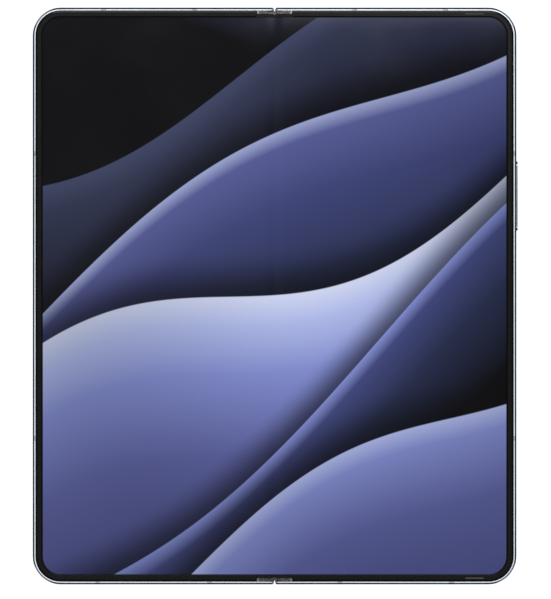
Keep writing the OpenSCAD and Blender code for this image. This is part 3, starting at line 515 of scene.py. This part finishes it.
def silk_picture(graph, x, y):
    """Soft diagonal silk folds, each lit along its crest and shaded below it."""
    glow = graph.radius(x, y, (14.0, -2.0)).step(0.0, 78.0, 1.12, 0.72)
    sky = (y + x * 0.35).step(20.0, 110.0)
    picture = graph.ramp(sky, (0.0, INK), (0.5, INK), (1.0, SLATE))
    for slope, height, wave, span, phase, depth, tones in FOLDS:
        crest = x * slope + (x / span + phase).sine() * wave + height
        below = crest - y
        picture = graph.mix(below.step(-13.0, 0.5, 0.0, 0.8), picture, INK)
        picture = graph.mix(below.step(-0.15, 0.25), picture, graph.ramp(below / depth, *tones))
    return graph.mix(1.0, picture, graph.grey(glow), "MULTIPLY")


def display_surface(graph, point, tone, sizes):
    """Glossy flexible display: lit picture inside a rounded outline, switched off outside it."""
    x, y, _ = graph.split(point)
    corner = sizes.lit_corner / MM
    over_x = (x.size() - (sizes.lit_half_width / MM - corner)).larger(0.0)
    over_y = (y.size() - (sizes.lit_half_height / MM - corner)).larger(0.0)
    lit = graph.radius(over_x, over_y).fall(corner - 0.06, corner + 0.06)
    flat = graph.vector(x, y)
    speck = graph.noise(flat, 5.0, 1.0).step(0.3, 0.8, 0.97, 1.05)
    picture = graph.mix(1.0, silk_picture(graph, x, y), graph.grey(speck), "MULTIPLY")
    touch = graph.noise(flat, 0.05, 3.0)
    return {"Base Color": tone, "IOR": 1.47,
            "Roughness": touch.step(0.3, 0.8, 0.05, 0.1),
            "Emission Color": graph.mix(lit, (0.0, 0.0, 0.0), picture),
            "Emission Strength": 1.0}


# ---------- meshes ----------

def link(name, mesh, finish):
    """A finished piece at the origin, with its one material."""
    piece = bpy.data.objects.new(name, mesh)
    bpy.context.scene.collection.objects.link(piece)
    mesh.materials.clear()
    mesh.materials.append(finish)
    return piece


def store_rest(mesh):
    """Keeps each corner's rest place in a UV map, so that patterns stay put in a bend."""
    layer = mesh.uv_layers.new(name="rest")
    for loop in mesh.loops:
        co = mesh.vertices[loop.vertex_index].co
        layer.data[loop.index].uv = (co.x / MM * UV_SCALE, co.y / MM * UV_SCALE)


def closed_skins(name, skins, finish):
    """A piece of closed skins. Each is a list of rings of points, and may end in a single point."""
    work = bmesh.new()
    for skin in skins:
        rings = [[work.verts.new(point) for point in ring] for ring in skin]
        for ring, following in zip(rings, rings[1:]):
            for i in range(len(ring)):
                beyond = following if len(following) == 1 else (following[i], following[i - 1])
                work.faces.new((ring[i - 1], ring[i], *beyond))
        for ring in (rings[0], rings[-1]):
            for i in range(len(ring) // 2 - 1):
                work.faces.new((ring[i], ring[i + 1], ring[-2 - i], ring[-1 - i]))
    bmesh.ops.recalc_face_normals(work, faces=work.faces)
    mesh = bpy.data.meshes.new(name)
    work.to_mesh(mesh)
    work.free()
    return link(name, mesh, finish)


# CAD nodes whose curved outsides are shown as merged, softly shaded copies of themselves
ROUNDED = ("right_frame", "left_frame", "right_bezel", "left_bezel", "right_antenna_bands",
           "left_antenna_bands", "volume_key", "side_key", "sim_tray", "rear_glass",
           "cover_glass", "camera_island", "camera_lens_rings", "flash_lens", "spine_cover",
           "spine_end_caps", "closing_bumpers", "usb_port")
SMOOTH_ANGLE = math.radians(27)


def soften(name, finish):
    """A merged copy of a CAD node, in its place, whose small facets shade as one curve."""
    node = frame["nodes"][name]
    mesh = node.data.copy()
    work = bmesh.new()
    work.from_mesh(mesh)
    bmesh.ops.remove_doubles(work, verts=work.verts, dist=0.0005 * MM)
    for face in work.faces:
        face.smooth = True
    for edge in work.edges:
        edge.smooth = len(edge.link_faces) == 2 and edge.calc_face_angle() < SMOOTH_ANGLE
    work.to_mesh(mesh)
    work.free()
    piece = link(name + "_surface", mesh, finish)
    weights = piece.modifiers.new("Face weights", "WEIGHTED_NORMAL")
    weights.keep_sharp = True
    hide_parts(name)
    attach(piece, node["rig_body"])


def dress(finishes):
    """Gives each packed slot that is named its finish, on every CAD node that uses it."""
    for name, node in frame["nodes"].items():
        for place in node.material_slots:
            slot = place.material.name.split(".")[0]
            if slot in finishes:
                place.material = finishes[slot]
                if name in ROUNDED:
                    soften(name, finishes[slot])


# ---------- pieces that Geometry Nodes repeat ----------

def node_group(name, sizes, counts):
    """An empty Geometry Nodes tree, with named inputs for sizes and counts."""
    tree = bpy.data.node_groups.new(name, "GeometryNodeTree")
    for label, flow, kind in [("Geometry", "INPUT", "Geometry"), ("Geometry", "OUTPUT", "Geometry"),
                              *((size, "INPUT", "Float") for size in sizes),
                              *((count, "INPUT", "Int") for count in counts)]:
        tree.interface.new_socket(label, in_out=flow, socket_type="NodeSocket" + kind)
    graph = Graph(tree)
    sockets = graph.node("NodeGroupInput").socket.node.outputs
    return graph, {socket.name: Value(graph, socket) for socket in sockets if socket.name}


def close_group(graph, geometry, finish):
    """Every tree ends in Realize Instances and Set Material."""
    real = graph.node("GeometryNodeRealizeInstances", {"Geometry": geometry})
    painted = graph.node("GeometryNodeSetMaterial", {"Geometry": real, "Material": finish})
    graph.node("NodeGroupOutput", {"Geometry": painted})
    return graph.tree


def grow(name, tree, values, finish, points=(), edges=()):
    """Runs a tree on a small carrier mesh and returns the result as a plain piece."""
    seed = bpy.data.meshes.new(name + "_seed")
    seed.from_pydata(points, edges, [])
    carrier = bpy.data.objects.new(name + "_seed", seed)
    bpy.context.scene.collection.objects.link(carrier)
    modifier = carrier.modifiers.new("Grow", "NODES")
    modifier.node_group = tree
    for item in tree.interface.items_tree:
        if item.in_out == "INPUT" and item.name in values:
            modifier[item.identifier] = values[item.name]
    bpy.context.view_layer.update()
    depsgraph = bpy.context.evaluated_depsgraph_get()
    mesh = bpy.data.meshes.new_from_object(carrier.evaluated_get(depsgraph),
                                           preserve_all_data_layers=True, depsgraph=depsgraph)
    carrier.modifiers.remove(modifier)
    bpy.data.objects.remove(carrier)
    mesh.name = name
    if not len(mesh.polygons):
        raise RuntimeError(name + " has no faces")
    return link(name, mesh, finish)


def centred_row(graph, given, count):
    """A row of points along X, a pitch apart, with its middle at the origin."""
    first = (given[count] - 1.0) * given["Pitch"] * -0.5
    return graph.line(given[count], graph.vector(first), graph.vector(given["Pitch"]))


def slotted_sheet_tree(finish):
    """Long bars beside the fold with staggered ties, which let the display bend."""
    graph, given = node_group(
        "Slotted sheet", ("Start", "Pitch", "Length", "Thickness", "Height", "Tie Pitch"),
        ("Bars", "Ties"))
    pitch, bars, thick = given["Pitch"], given["Bars"], given["Thickness"]
    step, height = graph.vector(pitch), given["Height"]
    rods = graph.blocks(graph.line(bars, graph.vector(given["Start"], 0.0, height), step),
                        graph.vector(pitch * 0.55, given["Length"], thick))
    row = graph.line(given["Ties"], graph.vector(0.0, given["Length"] * -0.49),
                     graph.vector(0.0, given["Tie Pitch"]))
    ties = graph.blocks(row, graph.vector(pitch * 0.5, 0.25 * MM, thick * 0.98))
    odd = graph.node("GeometryNodeInputIndex") % 2.0
    between = graph.line(bars - 1.0, graph.vector(given["Start"] + pitch * 0.5, 0.0, height), step)
    staggered = graph.node("GeometryNodeSetPosition", {
        "Geometry": between, "Offset": graph.vector(0.0, odd * given["Tie Pitch"] * 0.5)})
    return close_group(graph, graph.joined(rods, graph.copies(staggered, ties)), finish)


def ribbon_tree(finish):
    """Flat ribbons that follow the carrier's path, side by side along the fold."""
    graph, given = node_group("Ribbons", ("Width", "Thickness", "First", "Pitch"), ("Count",))
    path = graph.node("GeometryNodeMeshToCurve", {"Mesh": given["Geometry"]})
    profile = graph.node("GeometryNodeCurvePrimitiveQuadrilateral", {
        "Width": given["Width"], "Height": given["Thickness"]}, mode="RECTANGLE")
    ribbon = graph.node("GeometryNodeCurveToMesh", {
        "Curve": path, "Profile Curve": profile, "Fill Caps": True})
    row = graph.line(given["Count"], graph.vector(0.0, given["First"]),
                     graph.vector(0.0, given["Pitch"]))
    return close_group(graph, graph.copies(row, ribbon), finish)


def lens_rings_tree(finish):
    """Stepped rings that narrow with depth, at each camera."""
    graph, given = node_group("Camera rings", ("Radius", "Step", "Depth", "Wire"), ("Rings",))
    circle, wire = (
        graph.node("GeometryNodeCurvePrimitiveCircle", {"Resolution": corners, "Radius": radius})
        for corners, radius in ((48, given["Radius"]), (6, given["Wire"])))
    ring = graph.node("GeometryNodeCurveToMesh", {"Curve": circle, "Profile Curve": wire})
    levels = graph.line(given["Rings"], graph.vector(), graph.vector(0.0, 0.0, given["Depth"]))
    index = graph.node("GeometryNodeInputIndex")
    share = 1.0 - index * (given["Step"] / given["Radius"])
    barrel = graph.copies(levels, ring, graph.vector(share, share, 1.0))
    return close_group(graph, graph.copies(given["Geometry"], barrel), finish)


def hole_mesh_tree(finish):
    """Crossed wires cut to the outline of a round hole, at each of the carrier's points."""
    graph, given = node_group("Hole mesh", ("Radius", "Pitch", "Wire"), ("Wires",))
    row = centred_row(graph, given, "Wires")
    across = graph.split(graph.node("GeometryNodeInputPosition"))[0]
    inside = given["Radius"] * given["Radius"] - across * across
    chord = inside.larger(0.0) ** 0.5
    thick = given["Wire"]
    wire = graph.node("GeometryNodeMeshCube", {"Size": graph.vector(thick, thick, 2.0)})
    upright = graph.copies(row, wire, graph.vector(1.0, 1.0, chord))
    turned = graph.node("GeometryNodeTransform", {
        "Geometry": upright, "Translation": graph.vector(0.0, thick * 0.6),
        "Rotation": (0.0, math.pi / 2, 0.0)})
    patch = graph.copies(given["Geometry"], graph.joined(upright, turned))
    return close_group(graph, patch, finish)


def contacts_tree(finish):
    """Flat contacts in a row on each face of the tongue, at the carrier's points."""
    graph, given = node_group("Contacts", ("Pitch", "Width", "Length", "Thickness"), ("Count",))
    pads = graph.blocks(centred_row(graph, given, "Count"),
                        graph.vector(given["Width"], given["Length"], given["Thickness"]))
    return close_group(graph, graph.copies(given["Geometry"], pads), finish)


# ---------- operators ----------

class PHONE_OT_metal(bpy.types.Operator):
    """Finish the frames, keys, tray, bands, camera island and spine"""
    bl_idname = "phone.metal"
    bl_label = "Outer Metal"

    def execute(self, context):
        colours = context.scene.phone_colours
        tone = colours.frame_metal
        cooler = scaled(tone, 0.94)
        dress({
            # The frame and spine carry the painted shade of the recess at each end of the fold
            "frame_metal": material("Anodised frame", blasted, tone, 0.18, bare=SHADE_TONE),
            "camera_metal": material("Anodised island", blasted, cooler, 0.27),
            "spine_metal": material("Anodised spine", blasted, cooler, 0.18, bare=SHADE_TONE),
            "antenna_band": material("Antenna band", blasted, colours.antenna, 0.2),
        })
        return {"FINISHED"}


class PHONE_OT_border(bpy.types.Operator):
    """Finish the raised border and its rubber bumpers"""
    bl_idname = "phone.border"
    bl_label = "Raised Border"

    def execute(self, context):
        colours = context.scene.phone_colours
        dress({
            "border": material("Black border", satin_border, colours.border),
            "bumper": material("Grey rubber", moulded, (0.042, 0.039, 0.037), (0.56, 0.7), 6.0),
        })
        return {"FINISHED"}


class PHONE_OT_display(bpy.types.Operator):
    """Finish the display and make its bending middle with the slotted sheet below"""
    bl_idname = "phone.display"
    bl_label = "Folding Display"

    thickness = 0.5 * MM
    ties = 24

    def execute(self, context):
        sizes = context.scene.phone_sizes
        steel = material("Slotted sheet", brushed, context.scene.phone_colours.steel, ALONG_Y, 0.26)
        flat, bend = (
            material(name, display_surface, SWITCHED_OFF, sizes, uv_map=uv_map, shown=INDIGO)
            for name, uv_map in (("Display picture", None), ("Bending display picture", "rest")))
        dress({"main_display": flat})
        tree = slotted_sheet_tree(steel)
        for side, sign, half in SIDES:
            node = "display_fold_" + side
            low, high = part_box(node)
            rows = spread(low.y, high.y, 24)
            rings = []
            for x in spread(0.0, sign * FOLD_START, 42):
                top = high.z - sizes.crease_depth * math.exp(-(x / sizes.crease_width) ** 2)
                rings.append([(x, y, top - self.thickness) for y in rows]
                             + [(x, y, top) for y in reversed(rows)])
            strip = closed_skins("display_bend_" + side, [rings], bend)
            store_rest(strip.data)
            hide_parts(node)
            long = high.y - low.y
            sheet = grow("slotted_sheet_" + side, tree, {
                "Start": sign * sizes.slot_pitch * 0.4, "Pitch": sign * sizes.slot_pitch,
                "Bars": int(FOLD_START / sizes.slot_pitch), "Length": long,
                "Thickness": 0.14 * MM, "Height": low.z + 0.1 * MM,
                "Tie Pitch": long * 0.98 / self.ties, "Ties": self.ties}, steel)
            for piece, slot in ((strip, "main_display"), (sheet, "steel")):
                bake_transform(piece)
        return {"FINISHED"}


class PHONE_OT_fold_films(bpy.types.Operator):
    """Make the soft films that close the two ends of the fold"""
    bl_idname = "phone.fold_films"
    bl_label = "Fold End Films"

    depth = 0.93 * MM
    rounding = 0.05 * MM
    notch_depth = 0.6 * MM
    notch_width = 0.45 * MM

    def execute(self, context):
        rubber = material("Fold film", satin_border, (0.005, 0.005, 0.0052), uv_map="rest")
        for side, sign, half in SIDES:
            node = "fold_seals_" + side
            low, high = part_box(node)
            film = closed_skins("fold_film_" + side, [
                [self.outline(x, end, low.z, high) for x in spread(low.x, high.x, 24)]
                for end in (1.0, -1.0)], rubber)
            store_rest(film.data)
            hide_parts(node)
            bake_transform(film)
        return {"FINISHED"}

    def outline(self, x, end, floor, high):
        """The film's section at one place, notched towards the middle of the fold."""
        notch = self.notch_depth * max(0.0, 1 - abs(x) / self.notch_width)
        near, far, top, dome = high.y - self.depth, high.y - notch, high.z, self.rounding
        return [(x, end * y, z) for y, z in (
            (near, floor), (far, floor), (far, top - dome), (far - dome, top),
            (near + dome, top), (near, top - dome))]


class PHONE_OT_flex(bpy.types.Operator):
    """Make the flexible circuits that cross the spine, with their copper tracks"""
    bl_idname = "phone.flex"
    bl_label = "Flexible Circuits"

    width, thickness = 14.0 * MM, 0.13 * MM
    middle = 27.0 * MM
    rise_start, rise_length = 2.3 * MM, 2.2 * MM
    bend_start = 4.6 * MM

    def execute(self, context):
        sizes = context.scene.phone_sizes
        colours = context.scene.phone_colours
        pitch = sizes.track_pitch
        amber = material("Amber film", amber_film, colours.flex, colours.copper, pitch / MM,
                         uv_map="rest")
        copper = material("Copper tracks", brushed, colours.copper, ALONG_X)
        film_tree, track_tree = ribbon_tree(amber), ribbon_tree(copper)
        for side, sign, half in SIDES:
            node = "hinge_flex_" + side
            low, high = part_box(node)
            reach = max(abs(low.x), abs(high.x))
            under, over = low.z + 0.08 * MM, high.z - 0.08 * MM
            path = []
            for x in spread(0.0, reach, 40):
                rise = min(1.0, max(0.0, (x - self.rise_start) / self.rise_length))
                rise = rise * rise * (3 - 2 * rise)
                path.append((sign * x, 0.0, under + (over - under) * rise))
            links = [(i, i + 1) for i in range(len(path) - 1)]
            film = grow("flex_film_" + side, film_tree, {
                "Width": self.width, "Thickness": self.thickness, "Count": 2,
                "First": -self.middle, "Pitch": 2 * self.middle}, amber, path, links)
            store_rest(film.data)
            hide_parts(node)
            tracks = int(self.width / pitch) - 2
            pieces = [film]
            for end, place in ((-1.0, "bottom"), (1.0, "top")):
                copper_row = grow(f"flex_tracks_{side}_{place}", track_tree, {
                    "Width": pitch * 0.45, "Thickness": self.thickness + 0.05 * MM,
                    "Count": tracks, "Pitch": pitch,
                    "First": end * self.middle - pitch * (tracks - 1) / 2}, copper, path, links)
                pieces.append(copper_row)
            for piece in pieces:
                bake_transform(piece)
        return {"FINISHED"}


class PHONE_OT_cameras(bpy.types.Operator):
    """Make the rings and curved glass of the rear cameras, and the flash window"""
    bl_idname = "phone.cameras"
    bl_label = "Rear Cameras"

    # Each glass from its rim to its middle: the share of its radius, and the height
    profile = ((1.0, 0.8), (1.0, 0.2), (0.98545, 0.15), (0.72, 0.15), (0.66, 0.42), (0.5, 0.6),
               (0.46, 0.42), (0.34, 0.27), (0.18, 0.2), (0.0, 0.18))

    def execute(self, context):
        sizes = context.scene.phone_sizes
        colours = context.scene.phone_colours
        dress({"flash": material("Flash window", flash_window, (0.8, 0.8, 0.76),
                                 shown=(0.9, 0.86, 0.7))})
        black = material("Camera baffle", moulded, (0.012, 0.012, 0.013), (0.24, 0.38), 12.0, 0.1)
        low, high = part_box("camera_lens_glasses")
        x = (low.x + high.x) / 2
        radius = (high.x - low.x) / 2
        pitch = (high.y - low.y - 2 * radius) / 2
        centres = [(x, low.y + radius + i * pitch) for i in range(3)]
        glass = material("Coated camera glass", camera_glass, colours.glass_black,
                         middle_of("camera_lens_glasses"), pitch / MM)
        turns = spread(0.0, 2 * math.pi, 64)[:-1]
        fronts = closed_skins("camera_fronts", [
            [[(cx + far * radius * math.cos(turn), cy + far * radius * math.sin(turn), z * MM)
              for turn in (turns if far else turns[:1])] for far, z in self.profile]
            for cx, cy in centres], glass)
        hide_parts("camera_lens_glasses")
        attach(fronts, RIGHT)
        rings = grow("camera_rings", lens_rings_tree(black), {
            "Radius": radius * 0.68, "Step": sizes.lens_ring_step * 0.5, "Depth": 0.07 * MM,
            "Rings": 4, "Wire": 0.06 * MM}, black, [(cx, cy, 0.3 * MM) for cx, cy in centres])
        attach(rings, RIGHT)
        return {"FINISHED"}


class PHONE_OT_back_panes(bpy.types.Operator):
    """Finish the rear glass, the cover glass and the cover display"""
    bl_idname = "phone.back_panes"
    bl_label = "Back Panes"

    def execute(self, context):
        colours = context.scene.phone_colours
        black = colours.glass_black
        dress({
            "rear_glass": material("Etched rear glass", rear_pane, colours.rear),
            "cover_glass": material("Cover glass", black_pane, black),
            "cover_panel": material("Cover display", black_pane, (0.01, 0.01, 0.012), shown=black),
        })
        return {"FINISHED"}


class PHONE_OT_openings(bpy.types.Operator):
    """Make the fine mesh in the sound holes and the contacts in the charging socket"""
    bl_idname = "phone.openings"
    bl_label = "Holes and Socket"

    first_hole, hole_pitch, hole_radius = 39.24 * MM, 1.9 * MM, 0.55 * MM
    hole_height, mesh_inset = 4.25 * MM, 0.9 * MM
    contact_inset, contact_lift = 3.7 * MM, 0.35 * MM

    def execute(self, context):
        sizes = context.scene.phone_sizes
        wire = material("Sound mesh", brushed, (0.1, 0.1, 0.11), ALONG_X, 0.35)
        gold = material("Plated contacts", blasted, context.scene.phone_colours.gold, 0.2)
        low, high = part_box("right_frame")
        tree = hole_mesh_tree(wire)
        for side, sign, half in SIDES:
            edge = low.y if sign > 0 else high.y
            points = [(sign * (self.first_hole + i * self.hole_pitch),
                       edge + sign * self.mesh_inset, self.hole_height) for i in range(4)]
            mesh_piece = grow("sound_mesh_" + side, tree, {
                "Radius": self.hole_radius - 0.02 * MM, "Pitch": sizes.wire_pitch,
                "Wires": 7, "Wire": 0.05 * MM}, wire, points)
            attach(mesh_piece, half)
        x, _, z = scaled(middle_of("usb_port"), MM)
        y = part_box("usb_port")[0].y + self.contact_inset
        contacts = grow("socket_contacts", contacts_tree(gold), {
            "Count": 12, "Pitch": sizes.contact_pitch, "Width": sizes.contact_pitch * 0.5,
            "Length": 3.2 * MM, "Thickness": 0.04 * MM},
            gold, [(x, y, z + self.contact_lift), (x, y, z - self.contact_lift)])
        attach(contacts, RIGHT)
        return {"FINISHED"}


class PHONE_OT_hinge(bpy.types.Operator):
    """Finish the hinge: brackets, rails, gears, plates, springs and screws"""
    bl_idname = "phone.hinge"
    bl_label = "Hinge"

    def execute(self, context):
        colours = context.scene.phone_colours
        dress({
            "hinge_steel": material("Sintered hinge steel", blasted, colours.hinge, 0.36, 5.0),
            "gear_steel": material("Greased gear steel", oiled_gear, colours.steel),
            "steel": material("Rolled steel", brushed, colours.steel, ALONG_Y),
            "magnet": material("Nickel plate", blasted, (0.52, 0.51, 0.49), 0.2, 3.0),
        })
        return {"FINISHED"}


class PHONE_OT_inside(bpy.types.Operator):
    """Finish the boards, cells, coil and moulded modules inside"""
    bl_idname = "phone.inside"
    bl_label = "Inner Parts"

    def execute(self, context):
        colours = context.scene.phone_colours
        dress({
            "board": material("Circuit board", laminate, colours.board),
            "cell": material("Battery pouch", foil_cell, (0.02, 0.02, 0.023)),
            "copper": material("Wound copper", coil_turns, colours.copper),
            "black_plastic": material("Black module", moulded, (0.02, 0.02, 0.022), (0.36, 0.5)),
        })
        return {"FINISHED"}


class PHONE_OT_stage(bpy.types.Operator):
    """Make the pale floor, the soft dome, the light cards and the camera"""
    bl_idname = "phone.stage"
    bl_label = "Studio"

    # The dome's parts by the Z of the direction: each soft edge runs between two values
    ring = ((0.76, 0.83), (0.985, 0.997))
    boxes = ((-0.97, -0.8), (0.02, 0.1))
    strip = ((-0.15, -0.1), (-0.04, -0.01))

    def execute(self, context):
        studio = context.scene.phone_studio
        scene = context.scene
        scene.view_settings.view_transform = "Standard"
        self.lay_floor(studio)
        self.light_dome(studio)
        self.hang_card("veil_card", (-0.1, 0.0, 0.5), (0.2, 0.34), studio.veil)
        self.hang_card("top_card", (0.0, 0.168, 0.5), (0.3, 0.12), 1.5)
        border = bpy.data.collections.new("border_pieces")
        for side, _, _ in SIDES:
            border.objects.link(bpy.data.objects[side + "_bezel_surface"])
        low_card = self.hang_card("low_card", (0.0, 0.46, 0.15), (0.4, 0.14), 4.4)
        low_card.rotation_euler.x = math.radians(-72)
        border_card = self.hang_card("border_card", (0.0, 0.21, 0.5), (0.4, 0.22), 2.0)
        for card in (low_card, border_card):
            card.light_linking.receiver_collection = border
        camera = bpy.data.objects.new("camera", bpy.data.cameras.new("camera"))
        scene.collection.objects.link(camera)
        camera.data.lens = studio.lens
        far = studio.view_height / camera.data.sensor_width * studio.lens
        camera.location = (studio.aim_x, studio.aim_y, DISPLAY_TOP + far)
        camera.data.clip_start, camera.data.clip_end = 0.05, 30.0
        scene.camera = camera
        return {"FINISHED"}

    def lay_floor(self, studio):
        """A matt floor with a glow of its own, clear from behind."""
        half = studio.floor_size / 2
        mesh = bpy.data.meshes.new("floor")
        mesh.from_pydata([(-half, -half, 0), (half, -half, 0), (half, half, 0), (-half, half, 0)],
                         [], [(0, 1, 2, 3)])
        paint = bpy.data.materials.new("Pale floor")
        paint.use_nodes = True
        graph = Graph(paint.node_tree)
        point = graph.node("ShaderNodeTexCoord", out=3)
        tone = graph.noise(point, 3.0).step(0.3, 0.7, 0.49, 0.51)
        matt = graph.node("ShaderNodeBsdfDiffuse", {"Color": graph.grey(tone)})
        glow = graph.node("ShaderNodeEmission", {
            "Color": (1.0, 1.0, 1.0), "Strength": studio.floor_glow})
        front = graph.node("ShaderNodeAddShader", {0: matt, 1: glow})
        behind = graph.node("ShaderNodeNewGeometry", out=6)
        clear = graph.node("ShaderNodeBsdfTransparent")
        surface = graph.node("ShaderNodeMixShader", {0: behind, 1: front, 2: clear})
        graph.node("ShaderNodeOutputMaterial", {"Surface": surface})
        floor = link("floor", mesh, paint)
        floor.visible_glossy = False

    def light_dome(self, studio):
        """Even light on matt surfaces, and a ring, four boxes and a strip in the reflections."""
        world = bpy.data.worlds.new("Soft dome")
        world.use_nodes = True
        world.cycles.sampling_method = "NONE"
        bpy.context.scene.world = world
        graph = Graph(world.node_tree)
        x, y, z = graph.split(graph.node("ShaderNodeTexCoord"))
        corner = ((x * y).size() * 2.0) / (x * x + y * y + 0.0001)
        boxes = corner.step(0.55, 0.9) * z.band(*self.boxes)
        strip = z.band(*self.strip) * 0.6
        seen = z.band(*self.ring) * studio.dome + boxes.larger(strip) * 0.7 + 0.02
        even = z.step(-0.2, 0.25, 0.5, 1.0)
        path = graph.node("ShaderNodeLightPath").socket.node.outputs
        light = seen + Value(graph, path["Is Diffuse Ray"]) * (even - seen)
        light = light + Value(graph, path["Is Camera Ray"]) * (1.0 - light)
        background = graph.node("ShaderNodeBackground", {"Color": graph.grey(light)})
        graph.node("ShaderNodeOutputWorld", {"Surface": background})

    def hang_card(self, name, place, size, radiance):
        """A rectangular light that the camera doesn't see."""
        lamp = bpy.data.lights.new(name, "AREA")
        lamp.shape = "RECTANGLE"
        lamp.size, lamp.size_y = size
        lamp.energy = radiance * math.pi * size[0] * size[1]
        card = bpy.data.objects.new(name, lamp)
        card.location = place
        card.visible_camera = False
        bpy.context.scene.collection.objects.link(card)
        return card


OPERATORS = (PHONE_OT_metal, PHONE_OT_border, PHONE_OT_display, PHONE_OT_fold_films,
             PHONE_OT_flex, PHONE_OT_cameras, PHONE_OT_back_panes, PHONE_OT_openings,
             PHONE_OT_hinge, PHONE_OT_inside, PHONE_OT_stage)
for operator in OPERATORS:
    operator.bl_options = {"REGISTER", "UNDO"}

GROUPS = {"phone_sizes": PhoneSizes, "phone_colours": PhoneColours, "phone_studio": PhoneStudio}


class PHONE_PT_panel(bpy.types.Panel):
    """Lists the phone's sizes, colours and operators."""
    bl_label = "Folding Phone"
    bl_space_type = "VIEW_3D"
    bl_region_type = "UI"
    bl_category = "Folding Phone"

    def draw(self, context):
        for name, group in GROUPS.items():
            box = self.layout.box()
            for size in group.__annotations__:
                box.prop(getattr(context.scene, name), size)
        for operator in OPERATORS:
            self.layout.operator(operator.bl_idname)


CLASSES = (*GROUPS.values(), *OPERATORS, PHONE_PT_panel)


def register():
    for made in CLASSES:
        bpy.utils.register_class(made)
    for name, group in GROUPS.items():
        setattr(bpy.types.Scene, name, bpy.props.PointerProperty(type=group))


def unregister():
    for name in GROUPS:
        delattr(bpy.types.Scene, name)
    for made in reversed(CLASSES):
        bpy.utils.unregister_class(made)


def main():
    register()
    for operator in OPERATORS:
        getattr(bpy.ops.phone, operator.bl_idname.split(".")[1])()


if __name__ == "__main__":
    main()
